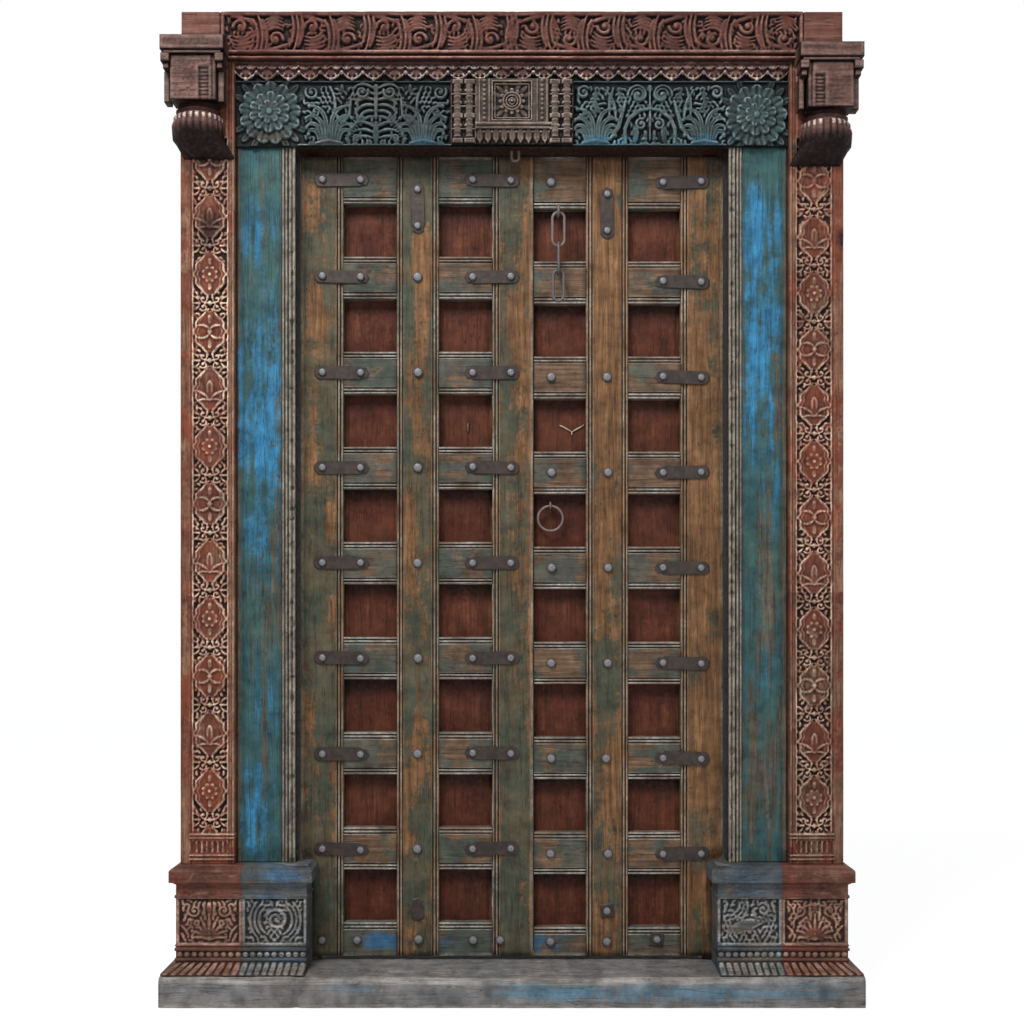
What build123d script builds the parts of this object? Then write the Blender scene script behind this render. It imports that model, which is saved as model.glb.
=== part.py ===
from build123d import *
import os
from math import cos, pi, radians, sin

# A carved double door of painted wood in its own frame, in millimetres. X runs across the door, -Y is the
# front and Z is up. The origin is the middle of the sill's underside.

# Clear doorway and frame
DOORWAY_WIDTH = 1074
DOORWAY_HEIGHT = 2029
SILL_OVERHANG = 29
SILL_DEPTH = 250
SILL_HEIGHT = 76
SILL_WEAR = 10
JAMB_WIDTH = 147
POST_WIDTH = 133
LINTEL_HEIGHT = 204
CROWN_HEIGHT = 118
CROWN_SETBACK = 5
FRAME_BACK = 105
JAMB_FACE = -10
POST_FACE = -35
CROWN_FACE = -45
BEAD_RADIUS = 6
TENON_WIDTH = 60
TENON_DEPTH = 40
TENON_LENGTH = 60
FOOT_TENON_LENGTH = 24
ROOT = 2
LEAF_WIDEST = 0.58
SHOULDER_OUT = 0.72
SHOULDER_UP = 0.6

# Plinth blocks, in front of the feet of the posts and jambs
PLINTH_INTRUSION = 35
PLINTH_OVERLAP = 4
PLINTH_OUTER_WIDTH = 161
PLINTH_FACE = -65
PLINTH_BACK = 32
PLINTH_HEIGHT = 215
PLINTH_FOOT_HEIGHT = 19
PLINTH_FLARE = 50
PLINTH_SIDE_FLARE = 27
PLINTH_CAP_HEIGHT = 32
PLINTH_CAP_PROJECTION = 15
PLINTH_CAP_BEVEL = 8
DENTIL_WIDTH = 12
DENTIL_HEIGHT = 22
DENTIL_DEPTH = 5
DENTIL_COUNT = 6
PANEL_MARGIN = 16
PANEL_RELIEF = 6
PLINTH_PETAL_START = 0.03
PLINTH_PETAL_LENGTH = 0.46
PLINTH_PETAL_WIDTH = 0.2

# Carving of the posts
MEDALLION_WIDTH = 78
MEDALLION_HEIGHT = 118
MEDALLION_RIM = 13
MEDALLION_TIP = 19
MEDALLION_RELIEF = 9
BUD_WIDTH = 24
BUD_HEIGHT = 39
LEFT_FIRST_KNOT_RISE = 109
RIGHT_FIRST_KNOT_RISE = 94
LEFT_LAST_KNOT_DROP = 106
RIGHT_LAST_KNOT_DROP = 159
MEDALLION_COUNT = 12
KNOT_WIDTH = 44
KNOT_HEIGHT = 18
CARVED_STRIP_WIDTH = 92
CARVED_STRIP_SHIFT = 5
CARVED_STRIP_DEPTH = 6
CARVED_STRIP_RISE = 69
CARVED_STRIP_DROP = 55
FLUTE_HEIGHT = 52
FLUTE_WIDTH = 12
FLUTE_PITCH = 20
FLUTE_COUNT = 5

# Frieze, centre block, scalloped band and crown
FRIEZE_HEIGHT = 159
FRIEZE_THICKNESS = 15
CARVING_RELIEF = 14
ROSETTE_RADIUS = 76
ROSETTE_INSET = 86
LEFT_ROSETTE_RISE = 81
RIGHT_ROSETTE_RISE = 71
ROSETTE_PETALS = 14
ROSETTE_PETAL_START = 11
ROSETTE_PETAL_WIDTH = 27
ROSETTE_RING = 42
ROSETTE_HEART = 32
ROSETTE_BUTTON = 15
ROSETTE_STEP = 3
FAN_OFFSET = 94
FAN_LEAF_LENGTH = 96
FAN_LEAF_WIDTH = 20
FAN_LEAVES = 6
FAN_SPREAD = 124
FAN_ROOT = 22
FAN_FOOT = 8
FAN_RELIEF = 10
FAN_OUTER_EASE = 0.55
STEM_FOOT = 14
STEM_TIP_GAP = 22
STEM_WIDTH = 26
VOLUTE_RADIUS = 24
VOLUTE_EYE = 13
VOLUTE_SPREAD = 26
VOLUTE_RISE = 118
VOLUTE_SIDES = 8
CENTRE_WIDTH = 300
CENTRE_PROJECTION = 20
CENTRE_NICHE = 98
NICHE_DEPTH = 12
NICHE_TOP_GAP = 8
COLONNETTE_RADIUS = 11
COLONNETTE_PITCH = 30
COLONNETTE_SIDES = 8
COLONNETTE_BASE = 20
BASE_PROJECTION = 13
SHELF_GAP = 16
SHELF_HEIGHT = 10
SHELF_OVERHANG = 40
SHELF_PROJECTION = 8
FLOWER_PETALS = 8
FLOWER_PETAL_START = 4
FLOWER_PETAL_LENGTH = 36
FLOWER_PETAL_WIDTH = 21
FLOWER_RELIEF = 9
BAND_STRIP = 20
SCALLOP_COUNT = 26
SCALLOP_SIDES = 3
DROP_SIZE = 7
DROP_RELIEF = 4
SCROLL_PITCH = 84
SCROLL_COUNT = 17
SCROLL_HEIGHT = 66
SCROLL_WIDTH = 34
SCROLL_RELIEF = 9
SCROLL_LEAN = 24
SCROLL_EYE = 15
SCROLL_EYE_RISE = 20
SCROLL_EYE_RELIEF = 7
SCROLL_EYE_SIDES = 6

# Capitals
CAPITAL_SHIFT = 21.5
CAPITAL_WIDTH = 154
CAPITAL_FACE = -118
CAPITAL_BLOCK_WIDTH = 112
CAPITAL_BLOCK_FACE = -100
CAPITAL_NECK_WIDTH = 84
LEFT_CAPITAL_RISE = 35
RIGHT_CAPITAL_DROP = 17
ABACUS_HEIGHT = 43
CAPITAL_BLOCK_HEIGHT = 108
CAPITAL_NECK_HEIGHT = 29
CUSHION_RADIUS = 66
CUSHION_HEIGHT = 45
CONE_HEIGHT = 51
CONE_RADIUS = 46
CONE_TAPER = 38
CUSHION_TAPER = 40
GADROONS = 16
RIB_RADIUS = 14.5
RIB_PITCH = 35
RIB_SIDES = 8

# Leaves
LEAF_FACE = 40
LEAF_SIDE_GAP = 5
LEAF_TOP_GAP = 5
LEAF_BOTTOM_GAP = 10
MEETING_LINE = 54
MEETING_GAP = 0.5
MEETING_BEVEL = 1.2
GRID_THICKNESS = 32
PLANK_THICKNESS = 28
LEDGE_THICKNESS = 22
LEDGE_HEIGHT = 90
LEDGE_LAP = 20
LEDGE_INSET = 12
HINGE_STILE_WIDTH = 107
CENTRE_STILE_WIDTH = 107
MEETING_POST_WIDTH = 104
RAIL_HEIGHT = 108
TOP_RAIL_HEIGHT = 118
BOTTOM_RAIL_HEIGHT = 84
RIGHT_GRID_DROP = 12
RAIL_COUNT = 7
MOULDING_WIDTH = 16
MOULDING_DEPTH = 6
MOULDING_STEP = 3
HALVING_DEPTH = 16
PLINTH_NOTCH_DEPTH = 12
PLINTH_NOTCH_CLEARANCE = 4
PLINTH_NOTCH_RISE = 14
PLINTH_NOTCH_ROUND = 20

# Pivots
HEEL_RADIUS = 30
PIVOT_RADIUS = 20
TOP_PIVOT_RADIUS = 18
PIVOT_CLEARANCE = 0.6
CUP_WALL = 9
CUP_FLOOR = 10
CUP_DEPTH = 20
TOP_PIVOT_LENGTH = 30
LIFT_OFF_ROOM = 34

# Iron
STRAP_LENGTH = 140
STRAP_HEIGHT = 40
STRAP_THICKNESS = 4
STRAP_POINT = 11
TIE_LENGTH = 132
TIE_WIDTH = 36
TIE_STUD_SPREAD = 92
TIE_DROP = 12
STRAP_STUD_SPREAD = 96
STUD_RADIUS = 14
STRAP_STUD_RADIUS = 11
STUD_HEIGHT = 9
STUD_FACET = 5
STUD_SIDES = 5
END_STUD = 43.5
WIRE_RADIUS = 4
BEND_SIDES = 12
CHAIN_INSET = 61.5
CHAIN_EYE_RISE = 39
CHAIN_PLANE = 12
LINK_WIDTH = 38
LINK_LENGTHS = (92, 86, 84)
HASP_WIDTH = 34
EYE_RADIUS = 13
WIRE_GAP = 0.5
RING_INSET = 42.5
RING_RISE = 30
RING_PLANE = 52
RING_RADIUS = 31.5
RING_WIRE = 3.5
RING_EYE_WIRE = 2.8
RING_EYE_RADIUS = 7.5
PIN_WIDTH = 8
PIN_THICKNESS = 4
SPLIT_PIN_GAP = 34.25
SPLIT_PIN_DROP = 12
SPLIT_PIN_LEG = 34
SPLIT_PIN_STUB = 11
SPLIT_PIN_ANGLE = 25
SMALL_PIN_INSET = 62
SMALL_PIN_DROP = 15
SMALL_PIN_LENGTH = 22
KEEPER_X = 8
KEEPER_PLANE = 14
KEEPER_SPAN = 18
KEEPER_DROP = 16
KEEPER_ROOT = 30

# Places that follow from the sizes
SOFFIT = SILL_HEIGHT + DOORWAY_HEIGHT
LINTEL_TOP = SOFFIT + LINTEL_HEIGHT
CROWN_TOP = LINTEL_TOP + CROWN_HEIGHT
JAMB_IN = DOORWAY_WIDTH / 2
JAMB_OUT = JAMB_IN + JAMB_WIDTH
POST_OUT = JAMB_OUT + POST_WIDTH
POST_MIDDLE = JAMB_OUT + POST_WIDTH / 2
PLINTH_IN = JAMB_IN - PLINTH_INTRUSION
PLINTH_OUT = POST_OUT + PLINTH_OVERLAP
PLINTH_JOINT = PLINTH_OUT - PLINTH_OUTER_WIDTH
PLINTH_TOP = SILL_HEIGHT + PLINTH_HEIGHT
CAP_TOP = PLINTH_TOP + PLINTH_CAP_HEIGHT + PLINTH_CAP_BEVEL
LEAF_OUT = JAMB_IN - LEAF_SIDE_GAP
LEAF_BOTTOM = SILL_HEIGHT + LEAF_BOTTOM_GAP
LEAF_TOP = SOFFIT - LEAF_TOP_GAP
PLANK_FACE = LEAF_FACE + GRID_THICKNESS
LEAF_BACK = PLANK_FACE + PLANK_THICKNESS
PIVOT_X = LEAF_OUT - HEEL_RADIUS
PIVOT_Y = LEAF_BACK - HEEL_RADIUS
STILE_IN = LEAF_OUT - HINGE_STILE_WIDTH
RIGHT_EDGE = MEETING_LINE + MEETING_GAP
POST_EDGE = MEETING_LINE - MEETING_POST_WIDTH
CUP_RADIUS = PIVOT_RADIUS + PIVOT_CLEARANCE + CUP_WALL
CUP_BOTTOM = SILL_HEIGHT - CUP_DEPTH - CUP_FLOOR
FRIEZE_FACE = JAMB_FACE - FRIEZE_THICKNESS
FRIEZE_TOP = SOFFIT + FRIEZE_HEIGHT
CENTRE_FACE = FRIEZE_FACE - CENTRE_PROJECTION
SILL_LENGTH = 2 * (PLINTH_OUT + SILL_OVERHANG)
CARVED_STRIP_BOTTOM = CAP_TOP + CARVED_STRIP_RISE
CARVED_STRIP_TOP = SOFFIT - CARVED_STRIP_DROP
ROSETTE_X = JAMB_OUT - ROSETTE_INSET
FOLIAGE_X = (CENTRE_WIDTH / 2 + ROSETTE_X - ROSETTE_RADIUS) / 2
CAPITAL_CENTRE = POST_MIDDLE + CAPITAL_SHIFT
GRID_HEIGHT = LEAF_TOP - LEAF_BOTTOM - TOP_RAIL_HEIGHT - BOTTOM_RAIL_HEIGHT
RAIL_PITCH = (GRID_HEIGHT + RAIL_HEIGHT) / (RAIL_COUNT + 1)
OPENING_HEIGHT = RAIL_PITCH - RAIL_HEIGHT


def block(x, y, z):
    """A box between a pair of limits along each axis."""
    spans = (x, y, z)
    middle = [(low + high) / 2 for low, high in spans]
    return Pos(*middle) * Box(*[high - low for low, high in spans])


def raised(outline, face, relief):
    """An outline drawn in X and Z that stands out of a face towards the front, rooted in the wood."""
    return extrude(Plane.XZ.offset(-face - ROOT) * outline, relief + ROOT)


def along_x(points, start, end):
    """A section drawn in Y and Z, run along X from start to end."""
    section = Plane.YZ.offset(start) * make_face(Polyline(*points, close=True))
    return extrude(section, end - start)


def up_z(outline, bottom, top):
    """An outline drawn in X and Y, run upwards."""
    return extrude(Pos(0, 0, bottom) * outline, top - bottom)


def flipped(shape):
    return mirror(shape, about=Plane.YZ)


def together(first, others):
    """The pieces of one solid, joined."""
    for other in others:
        first = first + other
    return first


def save(name, *solids):
    shape = solids[0] if len(solids) == 1 else Compound(children=list(solids))
    export_step(shape, f"parts/{name}.step")


def leaf_outline(length, width):
    """A chip-carved leaf that grows from the origin along +Y."""
    widest = length * LEAF_WIDEST
    return make_face(Polyline((0, 0), (width / 2, widest), (0, length), (-width / 2, widest), close=True))


def lobed_oval(width, height):
    """A pointed oval with a shoulder between each pair of points."""
    half, tall = width / 2, height / 2
    shoulder = (half * SHOULDER_OUT, tall * SHOULDER_UP)
    quarter = [(0, tall), shoulder, (half, 0), (shoulder[0], -shoulder[1])]
    other = [(-x, -z) for x, z in quarter]
    return make_face(Polyline(*quarter, *other, close=True))


def prism_wire(radius):
    """The section of forged wire, with six hammered sides."""
    return RegularPolygon(radius, 6)


# Frame


def threshold():
    front = -SILL_DEPTH / 2
    section = [
        (front, 0),
        (front, SILL_HEIGHT - SILL_WEAR),
        (front + SILL_WEAR, SILL_HEIGHT),
        (-front, SILL_HEIGHT),
        (-front, 0),
    ]
    sill = along_x(section, -SILL_LENGTH / 2, SILL_LENGTH / 2)
    for side in (-1, 1):
        seat = Pos(side * PIVOT_X, PIVOT_Y) * Circle(CUP_RADIUS)
        sill -= up_z(seat, CUP_BOTTOM, SILL_HEIGHT)
        sill -= foot_tenon(side * (JAMB_IN + JAMB_OUT) / 2)
        sill -= foot_tenon(side * POST_MIDDLE)
    return sill


def foot_tenon(x):
    middle = (PLINTH_BACK + FRAME_BACK) / 2
    wide, deep = TENON_WIDTH / 2, TENON_DEPTH / 2
    z = (SILL_HEIGHT - FOOT_TENON_LENGTH, SILL_HEIGHT)
    return block((x - wide, x + wide), (middle - deep, middle + deep), z)


def head_tenon(x):
    middle = (JAMB_FACE + FRAME_BACK) / 2
    wide, deep = TENON_WIDTH / 2, TENON_DEPTH / 2
    z = (SOFFIT, SOFFIT + TENON_LENGTH)
    return block((x - wide, x + wide), (middle - deep, middle + deep), z)


def pivot_cup(side):
    cup = up_z(Pos(side * PIVOT_X, PIVOT_Y) * Circle(CUP_RADIUS), CUP_BOTTOM, SILL_HEIGHT)
    bore = Pos(side * PIVOT_X, PIVOT_Y) * Circle(PIVOT_RADIUS + PIVOT_CLEARANCE)
    return cup - up_z(bore, CUP_BOTTOM + CUP_FLOOR, SILL_HEIGHT)


def jamb():
    """The right jamb, cut away in front at its foot for the plinth block, with beads at the doorway."""
    x = (JAMB_IN, JAMB_OUT)
    middle = (JAMB_IN + JAMB_OUT) / 2
    body = block(x, (JAMB_FACE, FRAME_BACK), (SILL_HEIGHT, SOFFIT))
    for place in (JAMB_IN + BEAD_RADIUS, JAMB_IN + 3 * BEAD_RADIUS, JAMB_OUT - BEAD_RADIUS):
        bead = Pos(place, JAMB_FACE) * RegularPolygon(BEAD_RADIUS, 6)
        body += up_z(bead, CAP_TOP, SOFFIT)
    body -= block(x, (JAMB_FACE - BEAD_RADIUS, PLINTH_BACK), (SILL_HEIGHT, CAP_TOP))
    return together(body, [foot_tenon(middle), head_tenon(middle)])


def medallion(z):
    """A lobed oval rim round a rosebud."""
    rim = lobed_oval(MEDALLION_WIDTH, MEDALLION_HEIGHT)
    hollow = lobed_oval(MEDALLION_WIDTH - 2 * MEDALLION_RIM, MEDALLION_HEIGHT - 2 * MEDALLION_TIP)
    bud = Pos(0, -BUD_HEIGHT / 2) * leaf_outline(BUD_HEIGHT, BUD_WIDTH)
    return Pos(0, z) * (rim - hollow + bud)


def post(first_rise, last_drop):
    """The right post with its carved strip: a chain of medallions tied by knots, over a fluted foot."""
    first_knot = CAP_TOP + first_rise
    pitch = (SOFFIT - last_drop - first_knot) / (MEDALLION_COUNT - 1)
    face = POST_FACE + CARVED_STRIP_DEPTH
    body = block((JAMB_OUT, POST_OUT), (POST_FACE, FRAME_BACK), (SILL_HEIGHT, LINTEL_TOP))
    middle = POST_MIDDLE - CARVED_STRIP_SHIFT
    half = CARVED_STRIP_WIDTH / 2
    strip_z = (CARVED_STRIP_BOTTOM, CARVED_STRIP_TOP)
    knot = Rot(0, 0, 90) * Pos(0, -KNOT_WIDTH / 2) * leaf_outline(KNOT_WIDTH, KNOT_HEIGHT)
    body -= block((middle - half, middle + half), (POST_FACE, face), strip_z)
    for number in range(MEDALLION_COUNT):
        knot_z = first_knot + number * pitch
        body += raised(Pos(middle, knot_z) * knot, face, MEDALLION_RELIEF)
        if number < MEDALLION_COUNT - 1:
            oval = Pos(middle, 0) * medallion(knot_z + pitch / 2)
            body += raised(oval, face, MEDALLION_RELIEF)
    flute_z = (CAP_TOP + CARVED_STRIP_BOTTOM - FLUTE_HEIGHT) / 2
    for number in range(FLUTE_COUNT):
        x = middle + (number - (FLUTE_COUNT - 1) / 2) * FLUTE_PITCH
        flute = (flute_z, flute_z + FLUTE_HEIGHT)
        body -= block((x - FLUTE_WIDTH / 2, x + FLUTE_WIDTH / 2), (POST_FACE, face), flute)
    body -= block((JAMB_OUT, POST_OUT), (POST_FACE, PLINTH_BACK), (SILL_HEIGHT, CAP_TOP))
    return body + foot_tenon(POST_MIDDLE)


def plinth(inner, outer, side_flare, inner_projection, outer_projection):
    """A block on a splayed foot under a bevelled cap, with a carved flower in a sunk square."""
    foot_top = SILL_HEIGHT + PLINTH_FOOT_HEIGHT
    body = block((inner, outer), (PLINTH_FACE, PLINTH_BACK), (foot_top, PLINTH_TOP))
    wide = outer - inner
    front = [
        (PLINTH_FACE - PLINTH_FLARE, SILL_HEIGHT),
        (PLINTH_FACE, foot_top),
        (PLINTH_BACK, foot_top),
        (PLINTH_BACK, SILL_HEIGHT),
    ]
    side = [(inner, SILL_HEIGHT), (inner, foot_top), (outer, foot_top), (outer + side_flare, SILL_HEIGHT)]
    splay = extrude(Plane.XZ.offset(-PLINTH_BACK) * make_face(Polyline(*side, close=True)), SILL_DEPTH)
    foot = along_x(front, inner, outer + side_flare) & splay
    cap_x = (inner - inner_projection, outer + outer_projection)
    cap_face = PLINTH_FACE - PLINTH_CAP_PROJECTION
    cap = [
        (cap_face, PLINTH_TOP),
        (cap_face, PLINTH_TOP + PLINTH_CAP_HEIGHT),
        (PLINTH_FACE + PLINTH_CAP_PROJECTION, CAP_TOP),
        (PLINTH_BACK, CAP_TOP),
        (PLINTH_BACK, PLINTH_TOP),
    ]
    body = body + foot + along_x(cap, *cap_x)
    x = (inner + outer) / 2
    dentil_top = foot_top + DENTIL_HEIGHT
    for number in range(DENTIL_COUNT):
        dentil_x = inner + (number + 0.5) * wide / DENTIL_COUNT
        dentil = Pos(dentil_x, foot_top + DENTIL_HEIGHT / 2) * Rectangle(DENTIL_WIDTH, DENTIL_HEIGHT)
        body += raised(dentil, PLINTH_FACE, DENTIL_DEPTH)
    size = wide - 2 * PANEL_MARGIN
    z = (dentil_top + PLINTH_TOP) / 2
    panel_face = PLINTH_FACE + PANEL_RELIEF
    sunk = (z - size / 2, z + size / 2)
    body -= block((inner + PANEL_MARGIN, outer - PANEL_MARGIN), (PLINTH_FACE, panel_face), sunk)
    petal = leaf_outline(size * PLINTH_PETAL_LENGTH, size * PLINTH_PETAL_WIDTH)
    petal = Pos(0, size * PLINTH_PETAL_START) * petal
    for number in range(FLOWER_PETALS):
        turned = Pos(x, z) * Rot(0, 0, number * 360 / FLOWER_PETALS) * petal
        body += raised(turned, panel_face, PANEL_RELIEF)
    return body


def lintel():
    x = (-JAMB_OUT, JAMB_OUT)
    beam = block(x, (JAMB_FACE, FRAME_BACK), (SOFFIT, LINTEL_TOP))
    for side in (-1, 1):
        socket = Pos(side * PIVOT_X, PIVOT_Y) * Circle(TOP_PIVOT_RADIUS + PIVOT_CLEARANCE)
        beam -= up_z(socket, SOFFIT, LEAF_TOP + TOP_PIVOT_LENGTH + LIFT_OFF_ROOM)
        beam -= head_tenon(side * (JAMB_IN + JAMB_OUT) / 2)
    return beam


def rosette(x, z):
    """A many-petalled flower with a raised button."""
    petal = leaf_outline(ROSETTE_RADIUS - ROSETTE_PETAL_START, ROSETTE_PETAL_WIDTH)
    flower = RegularPolygon(ROSETTE_RING, ROSETTE_PETALS)
    for number in range(ROSETTE_PETALS):
        angle = number * 360 / ROSETTE_PETALS
        flower += Rot(0, 0, angle) * Pos(0, ROSETTE_PETAL_START) * petal
    petals = raised(Pos(x, z) * flower, FRIEZE_FACE, CARVING_RELIEF)
    heart = Pos(x, z) * RegularPolygon(ROSETTE_HEART, ROSETTE_PETALS // 2)
    button = Pos(x, z) * RegularPolygon(ROSETTE_BUTTON, FLOWER_PETALS)
    flower = petals + raised(heart, FRIEZE_FACE, CARVING_RELIEF + ROSETTE_STEP)
    return flower + raised(button, FRIEZE_FACE, CARVING_RELIEF + 2 * ROSETTE_STEP)


def foliage(x):
    """Two fans of leaves that spring from the foot of the panel, under a pair of volutes."""
    leaves = []
    for side in (-1, 1):
        for number in range(FAN_LEAVES):
            angle = (number / (FAN_LEAVES - 1) - 0.5) * FAN_SPREAD
            length = FAN_LEAF_LENGTH * cos(radians(angle * FAN_OUTER_EASE))
            leaf = Rot(0, 0, angle) * Pos(0, FAN_ROOT) * leaf_outline(length, FAN_LEAF_WIDTH)
            foot = Pos(x + side * FAN_OFFSET, SOFFIT + FAN_FOOT)
            leaves.append(raised(foot * leaf, FRIEZE_FACE, FAN_RELIEF))
        volute = RegularPolygon(VOLUTE_RADIUS, VOLUTE_SIDES) - RegularPolygon(VOLUTE_EYE, VOLUTE_SIDES)
        place = Pos(x + side * VOLUTE_SPREAD, SOFFIT + VOLUTE_RISE)
        leaves.append(raised(place * volute, FRIEZE_FACE, CARVING_RELIEF))
    stem = Pos(x, SOFFIT + STEM_FOOT) * leaf_outline(VOLUTE_RISE - STEM_TIP_GAP, STEM_WIDTH)
    leaves.append(raised(stem, FRIEZE_FACE, CARVING_RELIEF))
    return leaves


def frieze_board():
    x = (-JAMB_OUT, JAMB_OUT)
    board = block(x, (FRIEZE_FACE, JAMB_FACE), (SOFFIT, FRIEZE_TOP))
    board += rosette(-ROSETTE_X, SOFFIT + LEFT_ROSETTE_RISE)
    board += rosette(ROSETTE_X, SOFFIT + RIGHT_ROSETTE_RISE)
    return together(board, foliage(-FOLIAGE_X) + foliage(FOLIAGE_X))


def centre_block():
    """The block over the middle of the doorway: colonnettes, and a flower in a square niche."""
    half = CENTRE_WIDTH / 2
    body = block((-half, half), (CENTRE_FACE, FRIEZE_FACE), (SOFFIT, FRIEZE_TOP))
    niche = CENTRE_NICHE / 2
    niche_face = CENTRE_FACE + NICHE_DEPTH
    niche_z = FRIEZE_TOP - niche - NICHE_TOP_GAP
    body -= block((-niche, niche), (CENTRE_FACE, niche_face), (niche_z - niche, niche_z + niche))
    petal = leaf_outline(FLOWER_PETAL_LENGTH, FLOWER_PETAL_WIDTH)
    for number in range(FLOWER_PETALS):
        turned = Rot(0, 0, number * 360 / FLOWER_PETALS) * Pos(0, FLOWER_PETAL_START) * petal
        body += raised(Pos(0, niche_z) * turned, niche_face, FLOWER_RELIEF)
    for side in (-1, 1):
        for number in range(2):
            body += colonnette(side * (half - COLONNETTE_RADIUS - number * COLONNETTE_PITCH))
    shelf_z = niche_z - niche - SHELF_GAP
    shelf_x = (-niche - SHELF_OVERHANG, niche + SHELF_OVERHANG)
    shelf_y = (CENTRE_FACE - SHELF_PROJECTION, CENTRE_FACE)
    return body + block(shelf_x, shelf_y, (shelf_z, shelf_z + SHELF_HEIGHT))


def colonnette(x):
    """A small attached column between a square base and a square cap."""
    shaft = Pos(x, CENTRE_FACE) * RegularPolygon(COLONNETTE_RADIUS, COLONNETTE_SIDES)
    column = up_z(shaft, SOFFIT + COLONNETTE_BASE, FRIEZE_TOP - COLONNETTE_BASE)
    wide = (x - COLONNETTE_RADIUS, x + COLONNETTE_RADIUS)
    for foot in (SOFFIT, FRIEZE_TOP - COLONNETTE_BASE):
        column += block(wide, (CENTRE_FACE - BASE_PROJECTION, CENTRE_FACE), (foot, foot + COLONNETTE_BASE))
    return column


def scalloped_band():
    """A board whose lower edge is a row of hanging scallops, each with a drop at its tip."""
    width = 2 * JAMB_OUT / SCALLOP_COUNT
    springing = LINTEL_TOP - BAND_STRIP
    tip = FRIEZE_TOP + ROOT
    edge = [(JAMB_OUT, springing), (JAMB_OUT, LINTEL_TOP), (-JAMB_OUT, LINTEL_TOP)]
    for number in range(SCALLOP_COUNT):
        start = -JAMB_OUT + number * width
        for step in range(SCALLOP_SIDES):
            along = step / SCALLOP_SIDES
            edge.append((start + along * width, springing - sin(along * pi) * (springing - tip)))
    outline = make_face(Polyline(*edge, close=True))
    band = extrude(Plane.XZ.offset(-JAMB_FACE) * outline, JAMB_FACE - POST_FACE)
    for number in range(SCALLOP_COUNT):
        x = -JAMB_OUT + (number + 0.5) * width
        drop = Pos(x, tip + DROP_SIZE) * RegularPolygon(DROP_SIZE, 4)
        band += raised(drop, POST_FACE, DROP_RELIEF)
    return band


def crown_board():
    """The top board, with a bead under a row of leafy scrolls that lean in turn to each side."""
    end = POST_OUT - CROWN_SETBACK
    body = block((-end, end), (CROWN_FACE, FRAME_BACK), (LINTEL_TOP, CROWN_TOP))
    bead_z = LINTEL_TOP + BEAD_RADIUS
    bead = Plane.YZ.offset(-JAMB_OUT) * Pos(CROWN_FACE, bead_z) * RegularPolygon(BEAD_RADIUS, 6)
    body += extrude(bead, 2 * JAMB_OUT)
    middle = (bead_z + BEAD_RADIUS + CROWN_TOP) / 2
    comma = Pos(0, -SCROLL_HEIGHT / 2) * leaf_outline(SCROLL_HEIGHT, SCROLL_WIDTH)
    eye = RegularPolygon(SCROLL_EYE, SCROLL_EYE_SIDES)
    for number in range(SCROLL_COUNT):
        x = (number - (SCROLL_COUNT - 1) / 2) * SCROLL_PITCH
        hand = 1 if number % 2 else -1
        leaning = Rot(0, 0, hand * SCROLL_LEAN) * comma
        body += raised(Pos(x, middle) * leaning, CROWN_FACE, SCROLL_RELIEF)
        if number < SCROLL_COUNT - 1:
            place = Pos(x + SCROLL_PITCH / 2, middle + hand * SCROLL_EYE_RISE)
            body += raised(place * eye, CROWN_FACE, SCROLL_EYE_RELIEF)
    return body


def capital(rise):
    """The right capital: a flat slab over a block, a neck, a round cushion and a cone."""
    x = CAPITAL_CENTRE
    top = LINTEL_TOP + rise
    slab = (x - CAPITAL_WIDTH / 2, x + CAPITAL_WIDTH / 2)
    slab_bottom = top - ABACUS_HEIGHT
    block_bottom = slab_bottom - CAPITAL_BLOCK_HEIGHT
    neck_bottom = block_bottom - CAPITAL_NECK_HEIGHT
    half = CAPITAL_BLOCK_WIDTH / 2
    block_x = (x - half, x + half)
    body = block(slab, (CAPITAL_FACE, CROWN_FACE), (slab_bottom, top))
    body += block(block_x, (CAPITAL_BLOCK_FACE, CROWN_FACE), (block_bottom, slab_bottom))
    body += block(block_x, (CROWN_FACE, POST_FACE), (block_bottom, LINTEL_TOP))
    for number in range(-1, 2):
        rib = Pos(x + number * RIB_PITCH, CAPITAL_BLOCK_FACE) * RegularPolygon(RIB_RADIUS, RIB_SIDES)
        body += up_z(rib, block_bottom, slab_bottom)
    neck = CAPITAL_NECK_WIDTH / 2
    neck_face = CAPITAL_BLOCK_FACE + half - neck
    body += block((x - neck, x + neck), (neck_face, POST_FACE), (neck_bottom, block_bottom))
    cushion = drum(neck_bottom - CUSHION_HEIGHT / 2, CUSHION_HEIGHT / 2, CUSHION_TAPER)
    cushion += Pos(0, 0, 2 * neck_bottom - CUSHION_HEIGHT) * mirror(cushion, about=Plane.XY)
    cone = drum(neck_bottom - CUSHION_HEIGHT, CONE_HEIGHT, CONE_TAPER, CONE_RADIUS)
    cone = Pos(0, 0, 2 * (neck_bottom - CUSHION_HEIGHT)) * mirror(cone, about=Plane.XY)
    turned = cushion + cone
    room_z = (CARVED_STRIP_TOP - CONE_HEIGHT, top)
    room = block((-CUSHION_RADIUS, CUSHION_RADIUS), (0, CUSHION_RADIUS), room_z)
    return body + Pos(x, POST_FACE) * (turned - room)


def drum(bottom, height, taper, radius=CUSHION_RADIUS):
    """A many-sided drum that narrows upwards, one side to each gadroon."""
    return extrude(Pos(0, 0, bottom) * RegularPolygon(radius, GADROONS), height, taper=taper)


# Leaves


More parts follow.
